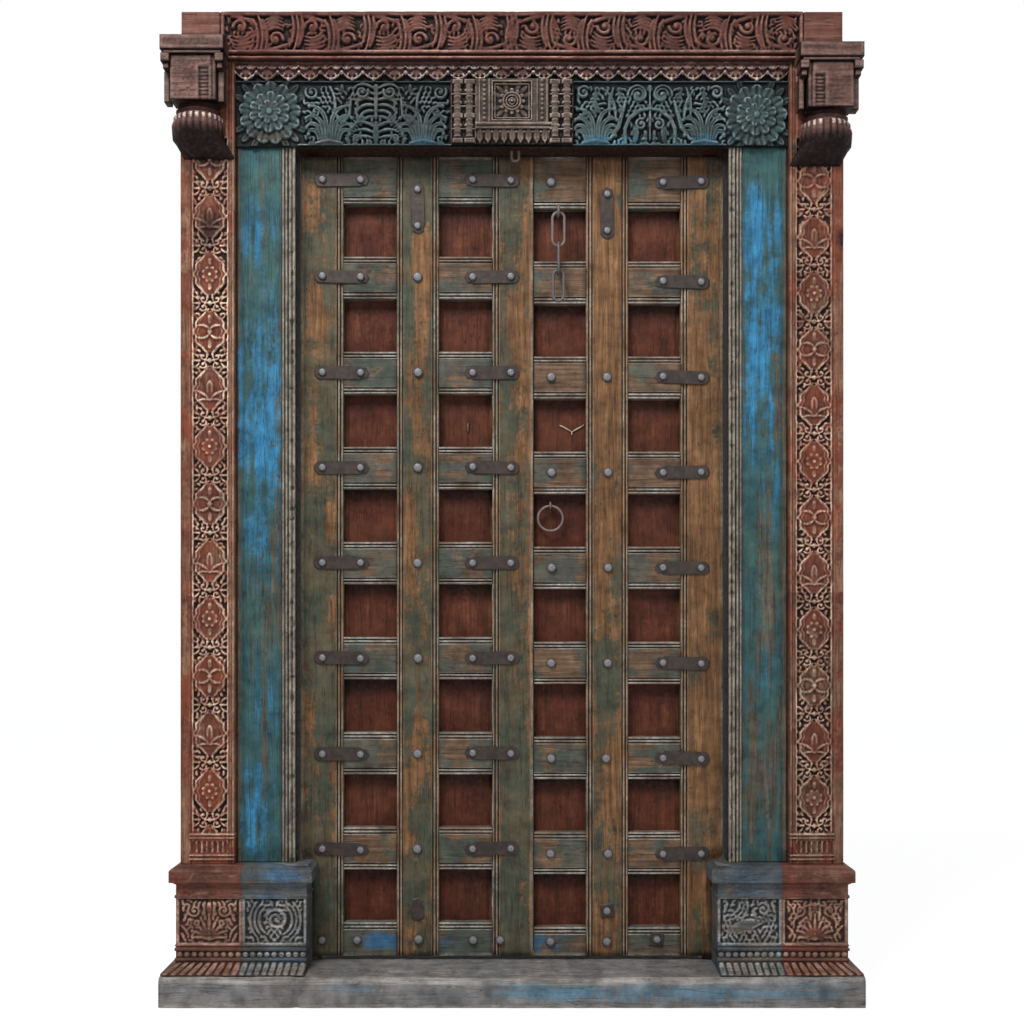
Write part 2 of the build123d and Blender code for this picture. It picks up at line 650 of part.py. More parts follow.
def moulded_section(low, high, low_edge, high_edge):
    """A bar's section from low to high, with a stepped moulding along each edge that borders an opening."""
    outer = LEAF_FACE + MOULDING_DEPTH
    ledge = LEAF_FACE + MOULDING_STEP
    points = [(PLANK_FACE, low)]
    if low_edge:
        points += [
            (outer, low),
            (ledge, low + MOULDING_DEPTH),
            (ledge, low + MOULDING_WIDTH),
            (LEAF_FACE, low + MOULDING_WIDTH),
        ]
    else:
        points.append((LEAF_FACE, low))
    if high_edge:
        points += [
            (LEAF_FACE, high - MOULDING_WIDTH),
            (ledge, high - MOULDING_WIDTH),
            (ledge, high - MOULDING_DEPTH),
            (outer, high),
        ]
    else:
        points.append((LEAF_FACE, high))
    return points + [(PLANK_FACE, high)]


def rail(start, end, bottom, top, crossing, low_edge=True, high_edge=True):
    """A rail from start to end, halved in front where the centre stile crosses it."""
    bar = along_x(moulded_section(bottom, top, low_edge, high_edge), start, end)
    cut_x = (crossing - CENTRE_STILE_WIDTH / 2, crossing + CENTRE_STILE_WIDTH / 2)
    return bar - block(cut_x, (LEAF_FACE, LEAF_FACE + HALVING_DEPTH), (bottom, top))


def moulded_stile(left, right, left_edge, right_edge):
    section = [(x, y) for y, x in moulded_section(left, right, left_edge, right_edge)]
    return up_z(make_face(Polyline(*section, close=True)), LEAF_BOTTOM, LEAF_TOP)


def centre_stile(middle, drop):
    """The stile between the two columns, halved behind at each rail."""
    half = CENTRE_STILE_WIDTH / 2
    bar = moulded_stile(middle - half, middle + half, True, True)
    for bottom, top in rail_spans(drop):
        bar -= block((middle - half, middle + half), (LEAF_FACE + HALVING_DEPTH, PLANK_FACE), (bottom, top))
    return bar


def rail_spans(drop):
    """The lower and upper edge of every rail, from the top rail to the bottom rail."""
    spans = [(LEAF_TOP - TOP_RAIL_HEIGHT - drop, LEAF_TOP)]
    for number in range(RAIL_COUNT):
        upper = LEAF_TOP - TOP_RAIL_HEIGHT - drop - OPENING_HEIGHT - number * RAIL_PITCH
        spans.append((upper - RAIL_HEIGHT, upper))
    spans.append((LEAF_BOTTOM, spans[-1][0] - OPENING_HEIGHT))
    return spans


def opening_middle(spans, number):
    """The height of the middle of an opening, counted from the top rail down."""
    return (spans[number - 1][0] + spans[number][1]) / 2


def hinge_stile():
    """The right leaf's thick outer stile with its round heel, its two pivots and the plinth's notch."""
    outline = [
        Line((STILE_IN, LEAF_FACE + MOULDING_DEPTH), (STILE_IN + MOULDING_DEPTH, LEAF_FACE + MOULDING_STEP)),
        Line(
            (STILE_IN + MOULDING_DEPTH, LEAF_FACE + MOULDING_STEP),
            (STILE_IN + MOULDING_WIDTH, LEAF_FACE + MOULDING_STEP),
        ),
        Line((STILE_IN + MOULDING_WIDTH, LEAF_FACE + MOULDING_STEP), (STILE_IN + MOULDING_WIDTH, LEAF_FACE)),
        Line((STILE_IN + MOULDING_WIDTH, LEAF_FACE), (LEAF_OUT, LEAF_FACE)),
        Line((LEAF_OUT, LEAF_FACE), (LEAF_OUT, PIVOT_Y)),
        JernArc((LEAF_OUT, PIVOT_Y), (0, 1), HEEL_RADIUS, 90),
        Line((PIVOT_X, LEAF_BACK), (STILE_IN, LEAF_BACK)),
        Line((STILE_IN, LEAF_BACK), (STILE_IN, LEAF_FACE + MOULDING_DEPTH)),
    ]
    stile = up_z(make_face(outline), LEAF_BOTTOM, LEAF_TOP)
    notch_in = PLINTH_IN - PLINTH_NOTCH_CLEARANCE
    notch_top = CAP_TOP + PLINTH_NOTCH_RISE
    notch = block((notch_in, LEAF_OUT), (LEAF_FACE, LEAF_FACE + PLINTH_NOTCH_DEPTH), (LEAF_BOTTOM, notch_top))
    corner = Axis((notch_in, 0, notch_top), (0, 1, 0))
    edge = notch.edges().filter_by(Axis.Y).sort_by_distance(corner.position + (0, LEAF_FACE, 0))[0]
    stile -= fillet(edge, PLINTH_NOTCH_ROUND)
    lower = up_z(Pos(PIVOT_X, PIVOT_Y) * Circle(PIVOT_RADIUS), CUP_BOTTOM + CUP_FLOOR, LEAF_BOTTOM)
    upper = up_z(Pos(PIVOT_X, PIVOT_Y) * Circle(TOP_PIVOT_RADIUS), LEAF_TOP, LEAF_TOP + TOP_PIVOT_LENGTH)
    return stile + lower + upper


def meeting_post():
    """The left leaf's closing stile, as thick as the leaf, which covers the whole middle of the doorway."""
    section = [(x, y) for y, x in moulded_section(POST_EDGE, MEETING_LINE, True, False)]
    section[0] = (POST_EDGE, LEAF_BACK)
    section[-2:] = [(MEETING_LINE - MEETING_BEVEL, LEAF_FACE), (MEETING_LINE, PIVOT_Y), (MEETING_LINE, LEAF_BACK)]
    return up_z(make_face(Polyline(*section, close=True)), LEAF_BOTTOM, LEAF_TOP)


def plank(left, right):
    return block((left, right), (PLANK_FACE, LEAF_BACK), (LEAF_BOTTOM, LEAF_TOP))


def ledge(left, right, z):
    """A batten across the back of the planks."""
    half = LEDGE_HEIGHT / 2
    return block((left, right), (LEAF_BACK, LEAF_BACK + LEDGE_THICKNESS), (z - half, z + half))


# Iron


def strap(length, height, turn=0):
    """A flat strap drawn out to a blunt point at each end."""
    x, z = length / 2, height / 2
    shoulder = x - STRAP_POINT
    corners = [(shoulder, z), (x, 0), (shoulder, -z), (-shoulder, -z), (-x, 0), (-shoulder, z)]
    outline = Rot(0, 0, turn) * make_face(Polyline(*corners, close=True))
    return extrude(Plane.XZ.offset(-LEAF_FACE) * outline, STRAP_THICKNESS)


def stud(x, z, face, radius=STUD_RADIUS):
    """A forged stud's head, hammered to a few flat facets."""
    head = extrude(Plane.XZ.offset(-face) * RegularPolygon(radius, STUD_SIDES), STUD_HEIGHT)
    return Pos(x, 0, z) * chamfer(head.faces().sort_by(Axis.Y)[0].edges(), STUD_FACET)


def strap_rows(centres, spans):
    """Straps across each joint of rail and stile, and the pair of studs that holds each one."""
    straps, studs = [], []
    half = STRAP_STUD_SPREAD / 2
    for x in centres:
        for bottom, top in spans:
            z = (bottom + top) / 2
            straps.append(Pos(x, 0, z) * strap(STRAP_LENGTH, STRAP_HEIGHT))
            for place in (x - half, x + half):
                studs.append(stud(place, z, LEAF_FACE - STRAP_THICKNESS, STRAP_STUD_RADIUS))
    return straps, studs


def upright_tie(x, spans):
    """The short upright strap at the head of a centre stile."""
    z = spans[0][0] - TIE_DROP
    half = TIE_STUD_SPREAD / 2
    studs = [stud(x, z + side * half, LEAF_FACE - STRAP_THICKNESS, STRAP_STUD_RADIUS) for side in (-1, 1)]
    return Pos(x, 0, z) * strap(TIE_LENGTH, TIE_WIDTH, 90), studs


def wire_path(points, radius):
    """Forged wire that runs round a closed outline drawn in X and Z, from the middle of its first side."""
    start = ((points[0][0] + points[-1][0]) / 2, (points[0][1] + points[-1][1]) / 2)
    path = Plane.XZ * Polyline(start, *points, start)
    section = Plane(origin=path @ 0, z_dir=path % 0) * prism_wire(radius)
    return sweep(section, path, transition=Transition.RIGHT)


def bow(centre, radius, first, last):
    """The corners of a bend round a centre, between two angles counted in bend steps."""
    step = 2 * pi / BEND_SIDES
    angles = [(number + 0.5) * step for number in range(first, last)]
    return [(centre[0] + radius * cos(angle), centre[1] + radius * sin(angle)) for angle in angles]


def wire_loop(length, width, radius):
    """A link of forged wire in the XZ plane, hung below the centre of its top wire."""
    bend = width / 2 - radius
    corner = bend / cos(pi / BEND_SIDES)
    half = BEND_SIDES // 2
    low = -(length - 2 * radius - bend)
    points = bow((0, -bend), corner, 0, half) + bow((0, low), corner, half, BEND_SIDES)
    return wire_path(points, radius)


def eye(x, y, z, loop_radius, wire, wood):
    """An eye of forged wire that stands out of the wood on a shank, its bottom wire centred at y and z."""
    corner = loop_radius / cos(pi / BEND_SIDES)
    ring = Rot(0, 0, 90) * wire_path(bow((0, 0), corner, 0, BEND_SIDES), wire)
    shank = extrude(Plane.XZ.offset(-wood) * prism_wire(wire), wood - y - loop_radius)
    return Pos(x, 0, z + loop_radius) * (Pos(0, y, 0) * ring + shank)


def pin_leg(length, angle):
    leg = Pos(length / 2, 0) * Rectangle(length, PIN_WIDTH)
    turned = Rot(0, 0, angle) * leg
    return extrude(Plane.XZ.offset(-PLANK_FACE) * turned, PIN_THICKNESS)


def split_pin():
    """A split pin whose two legs are clenched flat across the plank."""
    legs = pin_leg(SPLIT_PIN_LEG, SPLIT_PIN_ANGLE) + pin_leg(SPLIT_PIN_LEG, 180 - SPLIT_PIN_ANGLE)
    return legs + pin_leg(SPLIT_PIN_STUB, 270)


def keeper_staple():
    """The staple in the soffit that takes the end of the chain."""
    half = KEEPER_SPAN / 2
    corner = half / cos(pi / BEND_SIDES)
    bend = bow((0, -KEEPER_DROP), corner, BEND_SIDES // 2, BEND_SIDES)
    path = Plane.XZ * Polyline((-half, KEEPER_ROOT), *bend, (half, KEEPER_ROOT))
    section = Plane(origin=path @ 0, z_dir=path % 0) * prism_wire(WIRE_RADIUS)
    wire = sweep(section, path, transition=Transition.RIGHT)
    return Pos(KEEPER_X, KEEPER_PLANE, SOFFIT) * wire


def build():
    os.makedirs("parts", exist_ok=True)
    keeper = keeper_staple()
    save("threshold", threshold())
    save("pivot_cups", pivot_cup(-1), pivot_cup(1))
    save("left_jamb", flipped(jamb()))
    save("right_jamb", jamb())
    save("left_pilaster", flipped(post(LEFT_FIRST_KNOT_RISE, LEFT_LAST_KNOT_DROP)))
    save("right_pilaster", post(RIGHT_FIRST_KNOT_RISE, RIGHT_LAST_KNOT_DROP))
    inner_plinth = plinth(PLINTH_IN, PLINTH_JOINT, 0, PLINTH_CAP_PROJECTION, 0)
    outer_plinth = plinth(PLINTH_JOINT, PLINTH_OUT, PLINTH_SIDE_FLARE, 0, PLINTH_CAP_PROJECTION)
    save("left_inner_plinth", flipped(inner_plinth))
    save("right_inner_plinth", inner_plinth)
    save("left_outer_plinth", flipped(outer_plinth))
    save("right_outer_plinth", outer_plinth)
    save("lintel", lintel() - keeper)
    save("keeper_staple", keeper)
    save("frieze_board", frieze_board())
    save("centre_block", centre_block())
    save("scalloped_band", scalloped_band())
    save("crown_board", crown_board())
    save("left_capital", flipped(capital(LEFT_CAPITAL_RISE)))
    save("right_capital", capital(LEFT_CAPITAL_RISE - RIGHT_CAPITAL_DROP))
    build_left_leaf()
    build_right_leaf()


def build_left_leaf():
    spans = rail_spans(0)
    middle = (POST_EDGE - STILE_IN) / 2
    save("left_hinge_stile", flipped(hinge_stile()))
    save("left_centre_stile", centre_stile(middle, 0))
    save("meeting_post", meeting_post())
    save_rails("left", -STILE_IN, POST_EDGE, middle, spans)
    save("left_plank_outer", plank(-STILE_IN, middle))
    save("left_plank_inner", plank(middle, POST_EDGE))
    save("left_upper_ledge", ledge(-STILE_IN - LEDGE_LAP, MEETING_LINE - LEDGE_INSET, sum(spans[1]) / 2))
    save("left_lower_ledge", ledge(-STILE_IN - LEDGE_LAP, MEETING_LINE - LEDGE_INSET, sum(spans[-2]) / 2))
    straps, studs = strap_rows((-STILE_IN, POST_EDGE), spans[:-1])
    tie, tie_studs = upright_tie(middle, spans)
    studs += tie_studs
    studs += [stud(middle, sum(span) / 2, LEAF_FACE) for span in spans[1:]]
    save("left_straps", *straps, tie)
    pin = extrude(Plane.XZ.offset(-PLANK_FACE) * Rectangle(PIN_WIDTH, SMALL_PIN_LENGTH), PIN_THICKNESS)
    pin_z = opening_middle(spans, 3) - SMALL_PIN_DROP
    save("left_studs", *studs, Pos(POST_EDGE - SMALL_PIN_INSET, 0, pin_z) * pin)


def build_right_leaf():
    spans = rail_spans(RIGHT_GRID_DROP)
    middle = (RIGHT_EDGE + STILE_IN) / 2
    save("right_hinge_stile", hinge_stile())
    save("right_centre_stile", centre_stile(middle, RIGHT_GRID_DROP))
    save_rails("right", RIGHT_EDGE + MEETING_BEVEL, STILE_IN, middle, spans)
    chain_z = opening_middle(spans, 1) + CHAIN_EYE_RISE
    ring_z = opening_middle(spans, 4) + RING_RISE
    pin_z = opening_middle(spans, 3) - SPLIT_PIN_DROP
    chain_eye = eye(RIGHT_EDGE + CHAIN_INSET, CHAIN_PLANE, chain_z, EYE_RADIUS, WIRE_RADIUS, LEAF_BACK)
    ring_eye = eye(RIGHT_EDGE + RING_INSET, RING_PLANE, ring_z, RING_EYE_RADIUS, RING_EYE_WIRE, LEAF_BACK)
    save("right_plank_inner", plank(RIGHT_EDGE, middle) - chain_eye - ring_eye)
    save("right_plank_outer", plank(middle, STILE_IN))
    save("right_upper_ledge", ledge(RIGHT_EDGE + LEDGE_INSET, STILE_IN + LEDGE_LAP, sum(spans[1]) / 2))
    save("right_lower_ledge", ledge(RIGHT_EDGE + LEDGE_INSET, STILE_IN + LEDGE_LAP, sum(spans[-2]) / 2))
    straps, studs = strap_rows((STILE_IN,), spans[:-1])
    tie, tie_studs = upright_tie(middle, spans)
    studs += tie_studs
    studs += [stud(middle, sum(span) / 2, LEAF_FACE) for span in spans[2:]]
    studs += [stud(RIGHT_EDGE + END_STUD, sum(span) / 2, LEAF_FACE) for span in spans[:1] + spans[2:]]
    save("right_straps", *straps, tie)
    save("right_studs", *studs)
    save("chain_eye", chain_eye)
    save("ring_eye", ring_eye)
    pin_x = middle - CENTRE_STILE_WIDTH / 2 - SPLIT_PIN_GAP
    save("split_pin", Pos(pin_x, 0, pin_z) * split_pin())
    save_chain(chain_z)
    save_ring(ring_z)


def save_rails(side, start, end, middle, spans):
    names = ["top_rail"] + [f"rail_{number + 1}" for number in range(RAIL_COUNT)] + ["bottom_rail"]
    for name, (bottom, top) in zip(names, spans):
        low_edge = name != "bottom_rail"
        high_edge = name != "top_rail"
        save(f"{side}_{name}", rail(start, end, bottom, top, middle, low_edge, high_edge))


def save_chain(eye_z):
    """The chain of two links and a hasp, each hung in the one above and turned a quarter from it."""
    names = ("chain_link_1", "chain_link_2", "chain_hasp")
    widths = (LINK_WIDTH, LINK_WIDTH, HASP_WIDTH)
    drop = 2 * WIRE_RADIUS + WIRE_GAP
    top = eye_z + drop
    for number, (name, length, width) in enumerate(zip(names, LINK_LENGTHS, widths)):
        turn = 90 * (number % 2)
        link = Rot(0, 0, turn) * wire_loop(length, width, WIRE_RADIUS)
        save(name, Pos(RIGHT_EDGE + CHAIN_INSET, CHAIN_PLANE, top) * link)
        top += 2 * WIRE_RADIUS + drop - length


def save_ring(eye_z):
    """The pull ring, hung in its eye."""
    corner = RING_RADIUS / cos(pi / BEND_SIDES)
    ring = wire_path(bow((0, 0), corner, 0, BEND_SIDES), RING_WIRE)
    ring_top = eye_z + RING_EYE_WIRE + RING_WIRE + WIRE_GAP
    save("pull_ring", Pos(RIGHT_EDGE + RING_INSET, RING_PLANE, ring_top - RING_RADIUS) * ring)


build()
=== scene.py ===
import bmesh
import bpy
from math import cos, pi, radians, sin

import numpy as np
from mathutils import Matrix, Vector


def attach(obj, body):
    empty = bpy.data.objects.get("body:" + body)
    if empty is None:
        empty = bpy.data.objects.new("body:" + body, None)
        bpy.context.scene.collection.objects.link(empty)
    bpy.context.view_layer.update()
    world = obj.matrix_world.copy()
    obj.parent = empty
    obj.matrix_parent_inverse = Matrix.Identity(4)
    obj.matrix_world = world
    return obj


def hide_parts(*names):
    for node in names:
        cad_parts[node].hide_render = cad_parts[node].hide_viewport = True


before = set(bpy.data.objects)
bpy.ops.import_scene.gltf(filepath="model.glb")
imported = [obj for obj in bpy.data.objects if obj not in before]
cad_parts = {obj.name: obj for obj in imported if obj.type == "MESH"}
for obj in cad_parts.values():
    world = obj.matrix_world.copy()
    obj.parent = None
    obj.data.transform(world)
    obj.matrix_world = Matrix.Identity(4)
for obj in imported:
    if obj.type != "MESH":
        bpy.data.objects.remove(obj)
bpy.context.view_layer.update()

# Everything is laid out in millimetres, with X across the door, -Y to the front and Z up.
MM = 0.001
SOFFIT = 2105
CAP_TOP = 331
LINTEL_TOP = 2309
FRIEZE_TOP = 2264
CROWN_TOP = 2427
JAMB_IN, JAMB_OUT, POST_OUT = 537, 684, 817
POST_MIDDLE = 745.5
LEAF_FACE, PLANK_FACE, LEAF_BACK = 40, 72, 100
LEAF_BOTTOM, LEAF_TOP = 86, 2100
STILE_IN, LEAF_OUT = 425, 532
POST_EDGE, MEETING_LINE = -50, 54
MEETING_FACE, RIGHT_RAIL_START, RIGHT_PLANK_EDGE = 52.8, 55.7, 54.5
LEFT_MIDDLE, RIGHT_MIDDLE = -237.5, 239.75
HALF_STILE = 53.5
RAIL_HEIGHT, RAIL_PITCH, OPENING = 108, 240, 132
RIGHT_DROP = 12
FRAME_BACK = 105
SILL_TOP, FOOT_FRONT = 76.2, 32.3
PIVOT_X, PIVOT_Y = 502, 70
CHAIN_X, CHAIN_Y, CHAIN_TOP = 116, 12, 1951.5
RING_X, RING_Y, RING_EYE_Z, RING_SIZE = 97, 52, 1214, 31.5
LINK_WIRE, RING_WIRE = 3.85, 3.35
PIN_X, PIN_Z = 152, 1410
HEAD, HEAD_RISE = 10.5, 8.5
SIDE_NAMES = {-1: "left", 1: "right"}


# Random swells and paths


def clamp(values):
    return np.clip(values, 0, 1)


def half_round(away):
    """How high a round rise is: 1 at its middle and 0 from a distance of 1 on."""
    return np.sqrt(clamp(1 - away**2))


def noise(x, z, scale, seed=0):
    """Smooth random values from -1 to 1, with about one swell to each scale."""
    u, v = np.asarray(x, float) / scale + 500, np.asarray(z, float) / scale + 500
    i, j = np.floor(u), np.floor(v)
    fu, fv = u - i, v - j
    fu, fv = fu * fu * (3 - 2 * fu), fv * fv * (3 - 2 * fv)

    def corner(a, b):
        value = np.sin(a * 12.9898 + b * 78.233 + seed * 37.719) * 43758.5453
        return 2 * (value - np.floor(value)) - 1

    low = corner(i, j) * (1 - fu) + corner(i + 1, j) * fu
    high = corner(i, j + 1) * (1 - fu) + corner(i + 1, j + 1) * fu
    return low * (1 - fv) + high * fv


def swells(x, z, scale, seed=0):
    """Noise of three sizes."""
    total = noise(x, z, scale, seed)
    total = total + 0.5 * noise(x, z, scale / 2.1, seed + 3) + 0.25 * noise(x, z, scale / 4.3, seed + 7)
    return total / 1.75


def soften(values, reach):
    """Values averaged with their neighbours, along both ways."""
    for axis in (0, 1):
        padded = np.pad(values, [(reach, reach) if a == axis else (0, 0) for a in (0, 1)], mode="edge")
        total = np.zeros_like(values)
        weight = 0
        for shift in range(2 * reach + 1):
            share = 1 - abs(shift - reach) / (reach + 1)
            piece = np.take(padded, range(shift, shift + values.shape[axis]), axis)
            total += share * piece
            weight += share
        values = total / weight
    return values


def arc(x, z, radius, first, last, count=12):
    angles = np.radians(np.linspace(first, last, count))
    return np.column_stack([x + radius * np.cos(angles), z + radius * np.sin(angles)])


def sweep_path(x, z, heading, length, turn, count=10, tighten=0.0):
    """A path from a point that sets off at a heading and turns as it goes, more and more when tightened."""
    step = length / (count - 1)
    points = [(x, z)]
    angle = radians(heading)
    total = radians(turn)
    for number in range(count - 1):
        points.append((points[-1][0] + step * cos(angle), points[-1][1] + step * sin(angle)))
        angle += total / (count - 1) * (1 + tighten * (2 * number / (count - 2) - 1))
    return np.array(points)


def spiral(x, z, radius, first, hand, turns=1.5, count=26):
    """A path from the rim of a scroll in to its eye."""
    share = np.linspace(0, 1, count)
    angles = radians(first) + hand * share * turns * 2 * pi
    size = radius * (1 - 0.8 * share)
    return np.column_stack([x + size * np.cos(angles), z + size * np.sin(angles)])


# Carving


class Carving:
    """A face of wood seen from the front, whose heights stand out of its ground."""

    def __init__(self, left, right, bottom, top, step):
        self.x = np.linspace(left, right, max(2, round((right - left) / step) + 1))
        self.z = np.linspace(bottom, top, max(2, round((top - bottom) / step) + 1))
        self.height = np.zeros((len(self.z), len(self.x)))
        self.grid_x, self.grid_z = np.meshgrid(self.x, self.z)

    def window(self, low_x, high_x, low_z, high_z):
        columns = slice(*np.searchsorted(self.x, (low_x, high_x)))
        rows = slice(*np.searchsorted(self.z, (low_z, high_z)))
        return (rows, columns), self.grid_x[rows, columns], self.grid_z[rows, columns]

    def put(self, part, inside, values):
        self.height[part] = np.where(inside, np.maximum(self.height[part], values), self.height[part])

    def stroke(self, points, widths, height, base=0.0, groove=0.0):
        """A rounded rib along a path, whose width runs through the given widths."""
        points = np.asarray(points, float)
        run = np.linspace(0, 1, len(points))
        half = np.interp(run, np.linspace(0, 1, len(widths)), widths) / 2
        reach = half.max() + 1
        low, high = points.min(0) - reach, points.max(0) + reach
        part, x, z = self.window(low[0], high[0], low[1], high[1])
        if x.size == 0:
            return
        near = np.full(x.shape, 9.0)
        for a, b, start, end in zip(points, points[1:], half, half[1:]):
            way = b - a
            share = ((x - a[0]) * way[0] + (z - a[1]) * way[1]) / max(way @ way, 1e-9)
            share = clamp(share)
            away = np.hypot(x - a[0] - share * way[0], z - a[1] - share * way[1])
            near = np.minimum(near, away / np.maximum(start + share * (end - start), 0.4))
        rounded = half_round(near)
        if groove:
            rounded = rounded * (1 - groove * np.exp(-((near / 0.24) ** 2)))
        self.put(part, near < 1, base + height * rounded)

    def disc(self, x, z, radius, height, base=0.0):
        part, gx, gz = self.window(x - radius, x + radius, z - radius, z + radius)
        near = np.hypot(gx - x, gz - z) / radius
        dome = np.sqrt(1 - clamp(near) ** 2)
        self.put(part, near < 1, base + height * dome)

    def petal(self, x, z, angle, start, end, width, height, base=0.0, crease=0.25, tip=0.75):
        """A petal of a flower at a point, that lifts towards its rounded tip."""
        part, gx, gz = self.window(x - end - 2, x + end + 2, z - end - 2, z + end + 2)
        a = radians(angle)
        along = (gx - x) * cos(a) + (gz - z) * sin(a)
        across = -(gx - x) * sin(a) + (gz - z) * cos(a)
        share = (along - start) / (end - start)
        ease = clamp(share)
        half = width / 2 * np.sin(pi * clamp(0.12 + ease * tip)) ** 0.8
        half = half * half_round(clamp((ease - 0.8) / 0.2))
        near = np.abs(across) / np.maximum(half, 0.2)
        body = (1 - 0.55 * near**2) * (0.45 + 0.55 * ease)
        body = body * (1 - crease * np.exp(-((near / 0.25) ** 2)))
        self.put(part, (near < 1) & (share > 0) & (share < 1), base + height * body)

    def lay(self, inside, values):
        self.height = np.where(inside, np.maximum(self.height, values), self.height)

    def cut(self, inside, depth):
        self.height = np.where(inside, depth, self.height)

    def weather(self, seed, wear=0.25, swell=0.6):
        """Wears the high places unevenly and leaves tool marks on the rest."""
        soft = soften(self.height, 1)
        patch = clamp(swells(self.grid_x, self.grid_z, 46, seed) - 0.15)
        fine = swells(self.grid_x, self.grid_z, 5, seed + 11)
        self.height = soft * (1 - wear * patch) + 0.35 * fine * swell + swell * noise(self.grid_x,
            self.grid_z, 90, seed)


def volute(wood, x, z, radius, first, hand, width, height, base=0.0, turns=1.45):
    """A scroll that winds in to a button."""
    path = spiral(x, z, radius - width / 2, first, hand, turns)
    wood.stroke(path, [width, width * 0.9, width * 0.5], height, base, 0.25)
    wood.disc(x, z, radius * 0.24, height * 1.05, base)


def crescents(wood, x, z, radii, first, last, width, height, base=0.0):
    """Curved leaves that lie one outside another round a point."""
    for number, radius in enumerate(radii):
        lag = number * 7
        path = arc(x, z, radius, first + lag, last - lag * 0.4)
        wood.stroke(path, [width * 0.45, width, width, width * 0.25], height, base, 0.35)


def fan(wood, x, z, low, high, count, length, width, height, turn=30, base=0.0):
    """Leaves that rise from a root and curl away to each side."""
    for number in range(count):
        share = number / (count - 1)
        heading = low + (high - low) * share
        lean = 2 * share - 1
        reach = length * (1 - 0.32 * abs(lean) ** 1.5)
        path = sweep_path(x, z, heading, reach, turn * lean * 1.6, tighten=0.6)
        wood.stroke(path, [width * 0.55, width * 0.8, width, width * 0.35], height, base, 0.4)
        end = path[-1]
        wood.disc(end[0], end[1], width * 0.42, height * 0.9, base)


def fountain(wood, x, z, tall, height, leaves=4, width=13.5):
    """A bundle of broad leaves that rise together and roll over at their tips, the outer ones lower."""
    for hand in (-1, 1):
        for number in range(leaves):
            share = number / (leaves - 1)
            start_x = x + hand * (5 + 17 * share)
            heading = 90 - hand * (3 + 16 * share)
            reach = tall * (1.25 - 0.62 * share)
            path = sweep_path(start_x, z, heading, reach, -hand * (104 + 96 * share), 18, 1.35)
            wood.stroke(path, [width * 0.75, width, width * 1.02, width * 0.55], height * (1 - 0.2 * share),
                0, 0.5)
            wood.disc(path[-1][0], path[-1][1], width * 0.46, height * 0.9)
    wood.stroke([(x - 32, z - 1), (x, z + 4), (x + 32, z - 1)], [7, 14, 7], height, 0)


def acanthus(wood, path, width, height, lobe=15, base=0.0):
    """A leafy stem: a rib along a path with short lobes that curl forward on both its sides."""
    path = np.asarray(path, float)
    steps = np.hypot(*np.diff(path, axis=0).T)
    run = np.concatenate([[0], np.cumsum(steps)])
    place = 5.0
    while place < run[-1] - 3:
        here = np.array([np.interp(place, run, path[:, axis]) for axis in (0, 1)])
        ahead = np.array([np.interp(place + 2, run, path[:, axis]) for axis in (0, 1)])
        heading = np.degrees(np.arctan2(*(ahead - here)[::-1]))
        grown = lobe * (0.55 + 0.45 * np.sin(pi * place / run[-1]))
        for side in (-1, 1):
            leaf = sweep_path(here[0], here[1], heading + side * 48, grown, side * 64, 7)
            wood.stroke(leaf, [width * 0.5, width * 0.85, width * 0.35], height * 0.86, base, 0.35)
        place += width * 0.95
    wood.stroke(path, [width * 0.7, width, width * 0.9, width * 0.4], height, base, 0.45)


def fill_gaps(wood, axis, low_x, high_x, low_z, high_z, height, seed, pitch=11, size=15, base=0.0):
    """Small curled leaves wherever the ground is still bare, the same on both sides of an axis."""
    for row, z in enumerate(np.arange(low_z + 5, high_z - 3, pitch)):
        for x in np.arange(low_x + 4 + (row % 2) * pitch / 2, high_x - 3, pitch):
            part, gx, gz = wood.window(axis + x - 6, axis + x + 6, z - 6, z + 6)
            if gx.size == 0 or np.mean(wood.height[part] > base + 3) > 0.42:
                continue
            heading = 90 + 75 * noise(x, z, 31, seed)
            turn = 95 * (1 if noise(x, z, 23, seed + 4) > 0 else -1)
            reach = size * (1 + 0.35 * noise(x, z, 13, seed + 8))
            for hand in (1, -1):
                start = (axis + hand * x - hand * 3, z - reach * 0.4)
                path = sweep_path(*start, 90 + hand * (heading - 90), reach, hand * turn, 7)
                wood.stroke(path, [4, 9.5, 8, 3], height, base, 0.3)


# Pieces


def placed(name, data):
    """A new object in the scene."""
    made = bpy.data.objects.new(name, data)
    bpy.context.scene.collection.objects.link(made)
    return made


